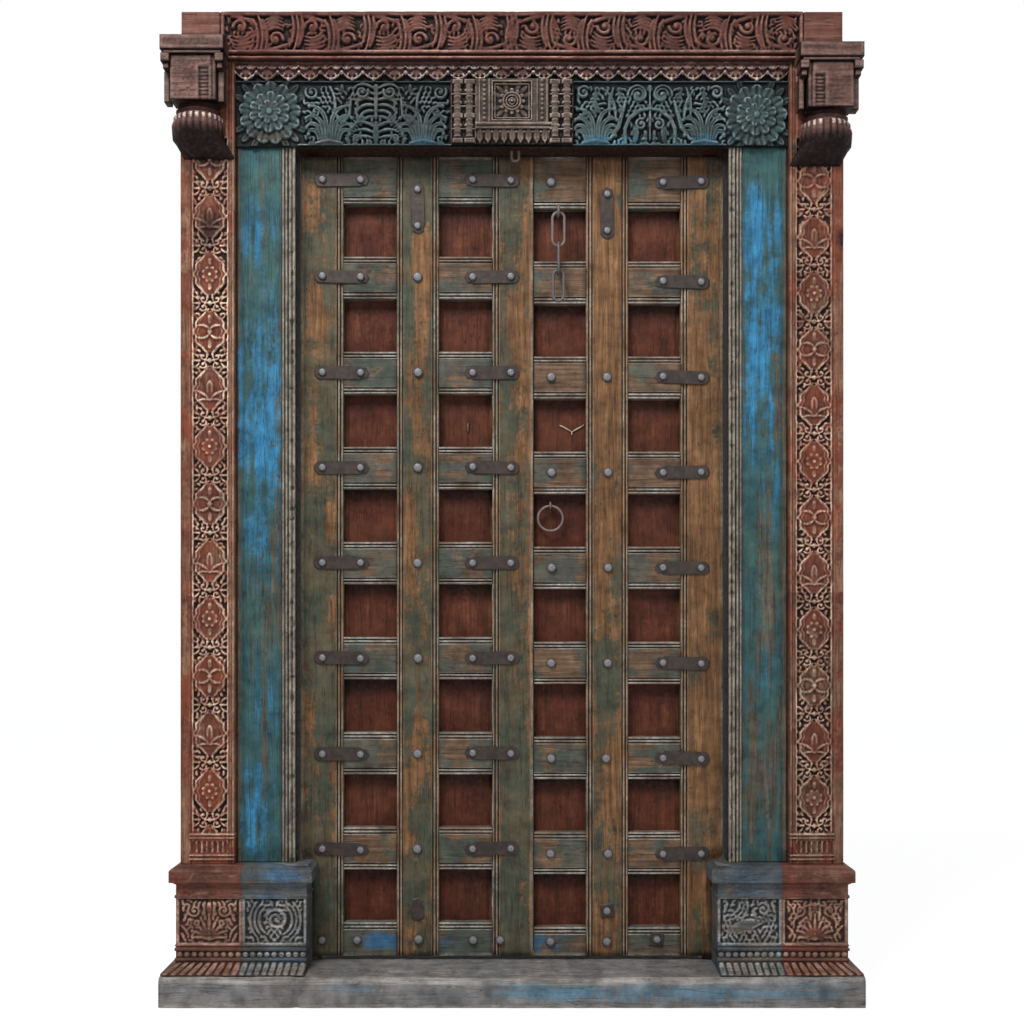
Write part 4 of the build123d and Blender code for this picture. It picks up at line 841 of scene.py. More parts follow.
def scallops(finish):
    """The band under the crown: a row of small scallops over a row of hanging ones with beads between."""
    wood = Carving(-JAMB_OUT, JAMB_OUT, FRIEZE_TOP, LINTEL_TOP, 1.7)
    x, z = wood.grid_x, wood.grid_z
    count = 26
    pitch = 2 * JAMB_OUT / count
    broad = np.abs(np.sin(pi * (x + JAMB_OUT) / pitch))
    small = np.abs(np.sin(2 * pi * (x + JAMB_OUT) / pitch))
    hang = 2288 - 20 * broad**0.8
    wood.lay(z > hang, 13)
    rim = (z - hang) / 4.5
    wood.lay((rim > 0) & (rim < 1), 14 + 4 * np.sin(pi * clamp(rim)))
    wood.cut((z > hang + 5) & (z < hang + 8.5), 8)
    upper = 2299 - 9 * small**0.8
    wood.lay(z > upper, 19)
    edge = (z - upper) / 3.5
    wood.lay((edge > 0) & (edge < 1), 20 + 4 * np.sin(pi * clamp(edge)))
    wood.cut((z > upper + 4) & (z < upper + 6.5), 15)
    for number in range(2 * count):
        middle = -JAMB_OUT + (number + 0.5) * pitch / 2
        wood.disc(middle, 2295.5, 3.6, 4, 20)
        for turn in (-38, 38):
            wood.petal(middle, 2304, 270 + turn, 0, 11, 6, 4, 19)
    for number in range(count):
        middle = -JAMB_OUT + (number + 0.5) * pitch
        for turn in (-44, 0, 44):
            wood.petal(middle, 2291, 270 + turn, 1, 19, 9.5, 6, 13)
        wood.disc(middle, 2268, 5, 6, 16)
        wood.disc(middle - pitch / 2, 2286, 5, 5, 15)
    wood.lay(z > 2305, 22)
    wood.height += 1.3 * noise(x, z, 11, 6) * (wood.height > 10)
    wood.weather(2, 0.22)
    piece = Piece()
    board(piece, wood, -14, -10, full=25)

    def paint(px, pz):
        cream = 0.75 + 0.6 * noise(px, pz, 60, 8)
        return {"cream": cream, "stain_and_shade": 0.04 + 0.3 * clamp(noise(px, pz, 110, 3)),
            "bare": 0.3 * noise(px, pz, 40, 1)}

    piece.make("scalloped_edge_board", finish["band"], "frame", "crown_wood", ["scalloped_band"], paint,
        right=False)


def frieze_rosette(wood, x, z, radius):
    """A full flower of broad creased petals round a button, with leaves in the corners of its square."""
    for corner in (45, 135, 225, 315):
        for turn in (-18, 0, 18):
            wood.petal(x, z, corner + turn, radius * 0.72, radius * 1.28, 20, 10, 0, 0.4)
    for number in range(13):
        wood.petal(x, z, number * 360 / 13 + 5, radius * 0.4, radius, 33, 15, 2, 0.45, 0.62)
    for number in range(10):
        wood.petal(x, z, number * 36 + 14, radius * 0.16, radius * 0.66, 27, 14, 8, 0.45, 0.62)
    for number in range(7):
        wood.petal(x, z, number * 360 / 7, radius * 0.05, radius * 0.38, 19, 11, 13, 0.4, 0.62)
    wood.disc(x, z, radius * 0.11, 6, 19)


def plume(wood, axis, low, high):
    """A stem with drooping ribs on both sides."""
    for hand in (-1, 1):
        for number in range(6):
            level = high - 8 - number * (high - low) / 6
            path = sweep_path(axis + hand * 3, level, 90 - hand * (52 + number * 7), 60 - number * 3,
                -hand * 92, 11, 0.3)
            wood.stroke(path, [7, 10.5, 9.5, 5], 15 - number * 0.6, 0, 0.35)
    wood.stroke([(axis, low), (axis, high)], [9, 11, 13], 17, 0, 0.45)


def left_foliage(wood, axis):
    """The left panel: a ribbed plume between leafy bundles, with volutes and loops above them."""
    base = SOFFIT + 7
    plume(wood, axis, 2172, 2252)
    for hand in (-1, 1):
        fountain(wood, axis + hand * 116, base, 92, 17)
        volute(wood, axis + hand * 34, 2237, 20, 90 + hand * 70, hand, 9, 18)
        volute(wood, axis + hand * 158, 2236, 21, 90 - hand * 60, -hand, 9, 17)
        volute(wood, axis + hand * 150, 2188, 15, 90 - hand * 100, -hand, 7.5, 15)
        loop = [(axis + hand * 62, 2216), (axis + hand * 66, 2180), (axis + hand * 84, 2160),
            (axis + hand * 100, 2182)]
        wood.stroke(loop + [(axis + hand * 102, 2222), (axis + hand * 112, 2250)], [7, 10, 11, 9, 6], 17, 0,
            0.45)
        stem = sweep_path(axis + hand * 72, base + 2, 90 + hand * 14, 78, hand * 40, 12)
        acanthus(wood, stem, 8, 15, 14)
        for number in range(3):
            path = sweep_path(axis + hand * (4 + number * 3), 2150 - number * 13,
                90 - hand * (48 + number * 10), 52, -hand * 70, 10)
            wood.stroke(path, [6, 10, 8, 4], 16, 0, 0.4)
        volute(wood, axis + hand * 48, 2122, 14, 90 + hand * 90, -hand, 7, 15)
        wood.petal(axis + hand * 84, 2232, 90, 0, 26, 13, 14)
    wood.petal(axis, base - 4, 90, 0, 48, 19, 19)
    fill_gaps(wood, axis, 2, 181, SOFFIT + 4, FRIEZE_TOP - 4, 12, 3)


def right_foliage(wood, axis):
    """The right panel: paired volutes on an arching pair of stems, between leafy bundles."""
    base = SOFFIT + 7
    for hand in (-1, 1):
        fountain(wood, axis + hand * 134, base, 84, 17)
        for radius, width in ((30, 8), (20, 7)):
            volute(wood, axis + hand * 29, 2230, radius, 90 - hand * 90, hand, width, 18, 0, 1.3)
        low_arch = [(axis + hand * 60, base), (axis + hand * 62, 2146), (axis + hand * 50, 2174),
            (axis + hand * 24, 2192)]
        wood.stroke(low_arch + [(axis, 2196)], [8, 11, 11, 10, 8], 18, 0, 0.45)
        stem = [(axis + hand * 60, 2214), (axis + hand * 70, 2180), (axis + hand * 78, 2150),
            (axis + hand * 98, 2122)]
        wood.stroke(stem + [(axis + hand * 120, 2112)], [8, 11, 12, 9, 6], 18, 0, 0.45)
        volute(wood, axis + hand * 22, 2158, 18, 90 + hand * 20, -hand, 8, 15)
        volute(wood, axis + hand * 164, 2236, 20, 90 + hand * 50, -hand, 9, 17)
        volute(wood, axis + hand * 160, 2182, 16, 90 - hand * 90, -hand, 8, 15)
        for number in range(2):
            start = (axis + hand * (84 + number * 16), 2170 + number * 12)
            path = sweep_path(*start, 90 - hand * 2, 78 - number * 10, -hand * (36 - 60 * number), 12)
            wood.stroke(path, [7, 11, 11, 5], 16, 0, 0.42)
        wood.petal(axis + hand * 38, base - 2, 90 + hand * 10, 0, 40, 16, 15)
        wood.petal(axis + hand * 12, base - 2, 90 + hand * 4, 0, 34, 13, 13)
    wood.stroke([(axis, 2120), (axis, 2250)], [5, 10, 8, 5], 16, 0, 0.4)
    fill_gaps(wood, axis, 2, 187, SOFFIT + 4, FRIEZE_TOP - 4, 12, 7)


def frieze(finish):
    wood = Carving(-JAMB_OUT, JAMB_OUT, SOFFIT, FRIEZE_TOP, 1.8)
    x, z = wood.grid_x, wood.grid_z
    left_foliage(wood, -336)
    right_foliage(wood, 341)
    wood.cut((np.abs(x + 601) < 81), 0)
    wood.cut((np.abs(x - 606) < 77), 0)
    frieze_rosette(wood, -598, 2186, 78)
    frieze_rosette(wood, 603, 2178, 78)
    wood.cut((np.abs(x) < 149), 4)
    wood.lay(z > FRIEZE_TOP - 3, 9)
    wood.lay((z < SOFFIT + 4) & (np.abs(x) < 530), 12)
    wood.height = np.clip(wood.height, 0, 27)
    wood.weather(3, 0.22)
    piece = Piece()
    board(piece, wood, -19, -10, full=20)

    def paint(px, pz):
        blue = spots(px, pz, [(-215, 2116, 90, 12, 0.5), (240, 2116, 110, 16, 0.7), (470, 2117, 80, 18, 0.7)])
        bare = spots(px, pz, [(-600, 2125, 90, 26, 0.6), (-400, 2230, 120, 30, 0.35),
            (600, 2240, 90, 26, 0.2)])
        chalk_and_highlight = 0.6 + spots(px, pz, [(-600, 2180, 80, 60, 0.5), (600, 2170, 80, 60, 0.5)])
        # The strip along the frieze's top, under the scalloped band, is darkened as painted shade.
        return {"azure": blue, "bare": bare + 0.08 * (px < 0) + 0.15 * noise(px, pz, 50, 5),
            "cream": 0.9 * (np.abs(px) > 430) + chalk_and_highlight,
            "stain_and_shade": 0.26 * ((px < -150) | (np.abs(px) > 430)) + 0.02 + 0.22 * (pz > 2236) + 0.15
            * clamp(noise(px, pz, 90, 8))}

    piece.make("carved_frieze_board", finish["frieze"], "frame", "frieze_wood", ["frieze_board"], paint,
        right=False)


def centre(finish):
    """The block over the middle: banded colonnettes, beaded borders and a flower in a square niche."""
    wood = Carving(-150, 150, SOFFIT, FRIEZE_TOP, 1.45)
    x, z = wood.grid_x, wood.grid_z
    wood.height[:] = 8
    for left in (-148, 92):
        wood.cut((x > left) & (x < left + 57), 2)
        for column in (14, 43):
            middle = left + column
            away = np.abs(x - middle)
            ring = 2.2 * (np.abs(np.mod(z, 14) - 7) < 2.6)
            wood.lay((away < 9) & (z > 2120) & (z < 2250), 4 + 9 * half_round(away / 9) + ring)
            for level in (2112, 2172, 2256):
                wood.lay((away < 13) & (np.abs(z - level) < 6), 15)
        for level in (2140, 2196, 2226):
            wood.stroke([(left + 2, level), (left + 55, level)], [4, 4], 14)
            for step in range(4):
                wood.disc(left + 8 + step * 13.5, level + 9, 5, 12, 2)
    for edge in (-68, 74):
        for step in range(9):
            wood.disc(edge, 2166 + step * 11.5, 5, 6, 8)
        for side in (-12, 12):
            wood.stroke([(edge + side, 2158), (edge + side, 2262)], [4, 4], 6, 7)
    wood.cut((np.abs(x) < 49) & (z > 2161) & (z < 2258), 1)
    for size, rise in ((49, 12), (43, 9)):
        ring = np.maximum(np.abs(x), np.abs(z - 2209.5))
        wood.lay((ring < size) & (ring > size - 3), rise)
    for corner in (45, 135, 225, 315):
        for turn in (-22, 0, 22):
            wood.petal(0, 2209, corner + turn, 27, 54, 12, 9, 0)
    for number in range(12):
        wood.petal(0, 2209, number * 30, 12, 33, 13, 10, 1)
    for ring_radius in (21, 14, 8):
        wood.stroke(arc(0, 2209, ring_radius, 0, 360, 30), [3.4, 3.4], 5, 7)
    wood.disc(0, 2209, 5.5, 6, 9)
    for level, tall, rise in ((2153, 7, 14), (2144, 4, 10)):
        wood.lay((np.abs(z - level) < tall / 2) & (x > -90) & (x < 98), rise)
    wood.cut((z < 2141) & (x > -89) & (x < 90), 0)
    for step in range(9):
        middle = -79 + step * 20
        wood.petal(middle, 2143, 270, 0, 34, 19, 12, 0)
        wood.disc(middle, 2108.5, 3.5, 8)
        wood.disc(middle + 10, 2134, 4.5, 9)
    wood.weather(4, 0.2, 0.5)
    piece = Piece()
    board(piece, wood, -37, -25, full=17)

    def paint(px, pz):
        return {"cream": 0.55, "bare": 0.1, "stain_and_shade": 0.06 + 0.2 * (noise(px, pz, 60, 3) > 0.2)}

    piece.make("carved_centre_block", finish["centre"], "frame", "frieze_wood", ["centre_block"], paint,
        right=False)


def ogee(x, z, half_width, half_height):
    """How far inside a lobed medallion a place is: 1 at the middle, 0 on its outline."""
    up = np.clip(np.abs(z) / half_height, 0, 1.2)
    lobes = 1 + 0.085 * np.cos(up * 4.4 * pi)
    edge = half_width * clamp(1 - up**2.2) ** 0.72 * lobes + 4 * clamp(1 - up)
    return np.where(up < 1, 1 - np.abs(x) / np.maximum(edge, 0.3), -1)


def medallion(wood, x, z, pitch, kind):
    """A lobed double rim round a flower, a rosebud or a crossed leaf."""
    half_height = pitch / 2 - 18
    part, gx, gz = wood.window(x - 46, x + 46, z - pitch / 2, z + pitch / 2)
    inside = ogee(gx - x, gz - z, 37, half_height)
    wood.put(part, inside > 0, 8 + 4.0 * np.exp(-(((inside - 0.1) / 0.07) ** 2)))
    line = np.exp(-(((inside - 0.3) / 0.05) ** 2))
    wood.put(part, (inside > 0.2) & (inside < 0.4), 8 + 3.2 * line)
    for hand in (-1, 1):
        for side in (-1, 1):
            curl = sweep_path(x + hand * 38, z + side * 2, 90 * side + hand * side * 10, 46, hand * side * 70,
                10, 0.9)
            wood.stroke(curl, [4, 6.5, 5, 3], 12, 0, 0.3)
    if kind == 0:
        for number in range(8):
            wood.petal(x, z, number * 45 + 22, 5, 21, 13, 5.4, 7.5, 0.35)
        wood.disc(x, z, 6, 5.5, 8)
        for hand in (-1, 1):
            wood.petal(x, z, 90 * hand, 20, 40, 12, 5, 7.5)
    elif kind == 1:
        wood.petal(x, z - 26, 90, 0, 48, 20, 5.6, 7.6, 0.4)
        for hand in (-1, 1):
            wood.stroke(sweep_path(x, z - 28, 90 - hand * 34, 44, -hand * 50, 9), [4, 9, 4], 5.2, 7.6, 0.4)
            wood.stroke(sweep_path(x, z - 28, 90 - hand * 68, 32, -hand * 60, 9), [4, 7, 3], 5, 7.6, 0.4)
    else:
        for hand in (-1, 1):
            for side in (-1, 1):
                path = sweep_path(x, z + side * 4, 90 * side - hand * side * 34, 34, -hand * side * 84, 9)
                wood.stroke(path, [4, 9, 4], 5.4, 7.6, 0.4)
        wood.disc(x, z, 7, 6, 7.6)
        for side in (-1, 1):
            wood.petal(x, z, 90 * side, 20, 42, 12, 5, 7.6)


def knot(wood, x, z):
    """The tie between two medallions: paired scrolls, a bead and split leaves."""
    for hand in (-1, 1):
        for side in (-1, 1):
            volute(wood, x + hand * 16, z + side * 10, 12.5, 90 * side + hand * 60, hand * side, 6, 11.5,
                turns=1.15)
            path = sweep_path(x + hand * 3, z + side * 14, 90 * side - hand * side * 46, 40, hand * side * 30,
                9)
            wood.stroke(path, [5, 8, 4], 11, 0, 0.35)
            leaf = sweep_path(x + hand * 27, z + side * 6, 90 * side - hand * side * 34, 30,
                -hand * side * 80, 8)
            wood.stroke(leaf, [4, 8, 3], 10, 0, 0.35)
        wood.stroke([(x + hand * 26, z), (x + hand * 43, z)], [9, 5], 10, 0, 0.3)
    wood.stroke([(x - 12, z), (x + 12, z)], [7, 9, 7], 12)
    wood.disc(x, z, 7.5, 13)


def pilaster(finish, side):
    """A carved post: plain outer edge, a chain of medallions, and lines along the inner edge."""
    first, pitch = (440, 141.64) if side < 0 else (425, 138.27)
    name = SIDE_NAMES[side]
    low, high = (JAMB_OUT, POST_OUT) if side > 0 else (-POST_OUT, -JAMB_OUT)
    wood = Carving(low, high, CAP_TOP, LINTEL_TOP, 2.04)
    x, z = wood.grid_x, wood.grid_z
    out = side * x
    middle = side * POST_MIDDLE
    wood.height[:] = 10
    away = np.abs(x - middle)
    wood.cut((away < 45) & (z > 404) & (z < 2120), 0)
    for number in range(-1, 12):
        medallion(wood, middle, first + (number + 0.5) * pitch, pitch, number % 3)
    for number in range(13):
        knot(wood, middle, first + number * pitch)
    fill_gaps(wood, middle, 2, 43, 406, 2118, 9, 9, 11, 15)
    wood.cut((away < 45) & (z < 404), 10)
    ground = 1.6 + 1.2 * noise(x, z, 9, 3)
    wood.height = np.maximum(wood.height, ground)
    for line, wide in ((692, 2.6), (697.5, 1.8), (790.5, 2.2)):
        wood.cut(np.abs(out - line) < wide / 2, 6.5)
    for line, wide in ((689, 4.5), (694.8, 3.2), (787.5, 3.5), (702, 3)):
        gap = np.abs(out - line) / (wide / 2)
        wood.lay((gap < 1) & (z > 372), 9 + 2.6 * half_round(gap))
    for level, tall in ((404, 6), (396, 4), (352, 5), (343, 5)):
        gap = np.abs(z - level) / (tall / 2)
        wood.lay((gap < 1) & (out < 795), 10 + 3.5 * half_round(gap))
    for number in range(7):
        centre_x = middle + (number - 3) * 13
        gap = np.hypot((x - centre_x) / 5, (z - 373) / 15)
        wood.cut(gap < 1, 5 + 3 * clamp(gap)[gap < 1].mean())
    wood.weather(20 + side, 0.28, 0.55)
    piece = Piece()
    board(piece, wood, -25, FRAME_BACK, full=12)
    foot = Carving(low, high, SILL_TOP, CAP_TOP, 40)
    board(piece, foot, FOOT_FRONT, FRAME_BACK)

    def paint(px, pz):
        # Each post is darkened most round z 2085, just under its capital, and at a few single spots.
        if side < 0:
            cream = 0.5 + spots(px, pz, [(-745, 1640, 90, 260, 0.8), (-745, 1080, 90, 420, 0.4),
                (-745, 600, 90, 260, 0.3)])
            stain_and_shade = spots(px, pz, [(-750, 1905, 34, 60, 0.9), (-745, 2085, 90, 50, 0.7),
                (-735, 1225, 30, 60, 0.25)])
        else:
            cream = 0.4 + spots(px, pz, [(745, 1330, 90, 480, 0.4), (735, 700, 70, 380, 0.5),
                (790, 1200, 25, 500, 0.4)])
            stain_and_shade = spots(px, pz, [(815, 1868, 22, 26, 1.0), (745, 2085, 90, 50, 0.7),
                (745, 1700, 60, 260, 0.15)])
        edge_bare = 0.35 * (np.abs(px) > 795) + 0.3 * (np.abs(px) < 704)
        worn = 0.35 * noise(px, pz, 95, 5) + 0.3 * noise(px, pz, 31, 7)
        return {"cream": cream + 0.3 * noise(px, pz, 38, 2),
            "stain_and_shade": 0.24 * ((px > 0) & (pz < 1000)) + stain_and_shade + 0.03, "bare": edge_bare + worn}

    piece.make(f"{name}_carved_post", finish["post"], "frame", "red_carved_wood", [f"{name}_pilaster"], paint,
        right=False)


def jamb(finish, side):
    """The flat painted jamb, reeded beside the doorway."""
    name = SIDE_NAMES[side]
    low, high = (JAMB_IN, JAMB_OUT) if side > 0 else (-JAMB_OUT, -JAMB_IN)
    wood = Carving(low, high, CAP_TOP, SOFFIT, 4.7)
    wood.x = np.unique(np.concatenate([wood.x, side * np.arange(JAMB_IN, JAMB_IN + 46, 1.5)]))
    wood.grid_x, wood.grid_z = np.meshgrid(wood.x, wood.z)
    x, z = wood.grid_x, wood.grid_z
    wood.height = np.full(x.shape, 6.0)
    out = side * x
    for line, wide, rise in ((541, 8, 9), (551, 8, 9), (560, 6, 8), (568, 6, 7.5), (679, 9, 9)):
        gap = np.abs(out - line) / (wide / 2)
        wood.cut(np.abs(gap - 1.1) < 0.25, 3.2)
        wood.lay(gap < 1, rise - 3 + 3.4 * half_round(gap))
    chips = (np.abs(out - 547) < 12) & (noise(x, z, 13, 8) > 0.45)
    wood.height = np.where(chips, wood.height - 1.6, wood.height)
    wood.height += 0.5 * swells(x, z, 70, 12 + side)
    piece = Piece()
    board(piece, wood, -4.4, FRAME_BACK, full=7)
    foot = Carving(low, high, SILL_TOP, CAP_TOP, 40)
    board(piece, foot, FOOT_FRONT, FRAME_BACK)

    def paint(px, pz):
        if side < 0:
            blue = spots(px, pz, [(-632, 1880, 46, 90, 0.6), (-628, 1420, 60, 230, 0.9),
                (-640, 1120, 50, 150, 0.55), (-620, 700, 50, 160, 0.25), (-640, 470, 44, 140, 0.75),
                (-600, 1600, 40, 200, 0.3)])
            bare = spots(px, pz, [(-575, 1250, 26, 700, 0.4), (-600, 800, 50, 300, 0.25),
                (-610, 1990, 60, 90, 0.2)])
        else:
            blue = spots(px, pz, [(625, 1880, 50, 150, 0.8), (610, 1560, 56, 220, 1.0),
                (640, 1330, 36, 180, 0.4), (620, 800, 40, 100, 0.3)])
            bare = spots(px, pz, [(640, 1000, 44, 260, 0.45), (620, 560, 60, 230, 0.5),
                (660, 1560, 24, 400, 0.3)])
        edge = np.abs(px) < 573
        streak = 0.62 + 0.5 * noise(px, pz / 7, 15, 4) + 0.3 * noise(px, pz / 4, 6, 9)
        return {"azure": blue * ~edge * streak, "bare": bare + 0.55 * edge + 0.3 * (np.abs(px) > 672) + 0.2
            * (0.6 - streak), "cream": 0.65 * edge + 0.1,
            "stain_and_shade": 0.25 * (np.abs(np.abs(px) - 575) < 3) + 0.05}

    piece.make(f"{name}_painted_jamb", finish["jamb"], "frame", "blue_painted_wood", [f"{name}_jamb"], paint,
        right=False)


def plinth_profile():
    """The front of a plinth from its foot up: (height, face, how far it stands out at a free side)."""
    return [(76.3, -115, 1.0), (81, -113, 0.96), (88, -84, 0.45), (95, -67, 0.05), (97, -66, 0.0),
        (102, -70, 0.1), (106, -70, 0.1), (108, -66, 0.0), (124, -66, 0.0), (126, -71, 0.1), (131, -71, 0.1),
        (134, -66, 0.0), (138, -70, 0.08), (142, -66, 0.0), (252, -66, 0.0), (255, -70, 0.1), (260, -70, 0.1),
        (262, -66, 0.0), (286, -66, 0.0), (291, -72, 0.3), (293, -79, 0.55), (320, -79, 0.55),
        (323, -77, 0.5), (330.6, -52, 0.0)]


def plinth(finish, side, outer):
    """A plinth block: splayed carved foot, row of buds, carved square, plain band and bevelled cap."""
    inner_x, outer_x = (660, 821) if outer else (502, 660)
    place = SIDE_NAMES[side] + ("_outer" if outer else "_inner")
    profile = plinth_profile()
    z = np.unique(np.concatenate([np.arange(76.3, 330.6, 2.15), [row[0] for row in profile]]))
    face = np.interp(z, [row[0] for row in profile], [row[1] for row in profile])
    flare = np.interp(z, [row[0] for row in profile], [row[2] for row in profile])
    wood = Carving(inner_x, outer_x, 76.3, 330.6, 2.15)
    wood.z = z
    wood.grid_x, wood.grid_z = np.meshgrid(wood.x, wood.z)
    wood.height = np.zeros(wood.grid_x.shape)
    x, gz = wood.grid_x, wood.grid_z
    middle = (inner_x + outer_x) / 2
    field = (np.abs(x - middle) < 72) & (gz > 144) & (gz < 252)
    wood.cut(field, -9)
    base = -9
    if outer:
        fan(wood, middle, 150, 25, 155, 9, 62, 11, 9, 34, base)
        for hand in (-1, 1):
            volute(wood, middle + hand * 36, 222, 20, 90 - hand * 60, -hand, 8, 9, base)
            wood.stroke(sweep_path(middle + hand * 8, 205, 90 - hand * 20, 40, hand * 40), [4, 8, 3], 9, base,
                0.3)
            wood.stroke(sweep_path(middle + hand * 50, 152, 90 - hand * 6, 44, -hand * 60), [4, 9, 3], 8,
                base, 0.3)
            if side > 0:
                wood.stroke(arc(middle, 186, 52, 90, 90 - hand * 95, 14), [6, 7, 6], 9, base, 0.2)
        wood.petal(middle, 208, 90, 0, 36, 18, 9, base)
    else:
        if side < 0:
            volute(wood, middle - 4, 200, 32, 40, 1, 11, 9, base, 1.6)
            crescents(wood, middle - 4, 200, (40, 50, 60), 120, 250, 9, 9, base)
            crescents(wood, middle - 4, 200, (42, 53, 63), -60, 50, 9, 8, base)
        else:
            for number in range(7):
                path = sweep_path(middle - 58, 158 + number * 4, 62 - number * 3, 92 - number * 6,
                    -70 + number * 6, 12)
                wood.stroke(path + [number * 9, -number * 2], [5, 10, 10, 3], 9, base, 0.4)
            volute(wood, middle + 34, 226, 20, 140, -1, 8, 9, base)
            crescents(wood, middle - 44, 236, (20, 30, 40), -80, 40, 8, 8, base)
    fill_gaps(wood, middle, 2, 72, 144, 252, 8, 6 + side + outer, 11, 16, -9)
    shallow = wood.height < 0
    wood.height = np.where(shallow & field, np.maximum(wood.height, -7), wood.height)
    wood.height = np.where(field, wood.height * 0.6 - 0.8, wood.height)
    for number in range(9):
        bud = inner_x + (number + 0.5) * (outer_x - inner_x) / 9
        wood.disc(bud, 116, 7.0, 3.4, 0)
        wood.petal(bud, 76, 90, 1, 21, 15, 2.8, 0)
    wood.weather(40 + 3 * side + outer, 0.22, 0.6)
    wood.height -= 3.6 * clamp(noise(x, gz, 40, 9) - 0.4) * (gz > 250)
    wood.height[-1] = 0
    inner_flare = 0 if outer else 15
    left = inner_x - inner_flare * np.where(gz[:, 0] > 200, flare / 0.55, 0).clip(0, 1)
    right = outer_x + np.where(gz[:, 0] > 200, 15 * (flare / 0.55).clip(0, 1),
        27 * flare) * (1 if outer else 0)
    piece = Piece()
    if side < 0:
        wood.height = wood.height[:, ::-1]
        wood.x = -wood.x[::-1]
        left, right = -right, -left
    board(piece, wood, face, 32, left, right, wood.z, full=3, ground=-24)
    kind = "red plinth" if outer else "blue plinth"
    slot = "red_carved_wood" if outer else "blue_painted_wood"

    def paint(px, pz):
        blue = spots(px, pz, [(-560, 305, 60, 26, 0.6), (-600, 255, 60, 12, 0.5), (-540, 96, 70, 14, 0.4),
            (560, 305, 60, 26, 0.3), (580, 275, 60, 20, 0.3)])
        return {"azure": blue, "cream": 0.7 + 0.5 * noise(px, pz, 30, 4),
            "stain_and_shade": 0.03 + 0.25 * clamp(noise(px, pz, 70, 5)), "bare": 0.4 * noise(px, pz, 45, 8)}

    piece.make(f"{place}_carved_plinth", finish[kind], "frame", slot, [f"{place}_plinth"], paint, right=False)


def corbel(piece, rows, count=34):
    """A half-round form against the frame: rows of (height, middle, half width, depth, its lobes' depth)."""
    angles = np.linspace(pi, 2 * pi, count + 1)
    points, ridges = [], []
    for z, middle, half, depth, lobe in rows:
        wave = np.abs(np.sin(angles * 12))
        size = 1 - lobe * (1 - wave) / max(half, 1)
        points.append(np.column_stack([middle + half * size * np.cos(angles),
            -35.3 + depth * size * np.sin(angles), np.full(count + 1, z)]))
        ridges.append(np.where(lobe > 0, 2.2 * wave - 1.2, 0.1))
    wide = count + 1
    faces = []
    for row in range(len(rows) - 1):
        start, above = row * wide, (row + 1) * wide
        faces += [[start + step, start + step + 1, above + step + 1, above + step] for step in range(count)]
        faces.append([start + count, start, above, above + count])
    smooth = [True] * len(faces)
    faces.append(list(range(wide))[::-1])
    faces.append([(len(rows) - 1) * wide + step for step in range(wide)])
    piece.add(np.concatenate(points), faces, smooth + [False, False], 0.7, np.concatenate(ridges))


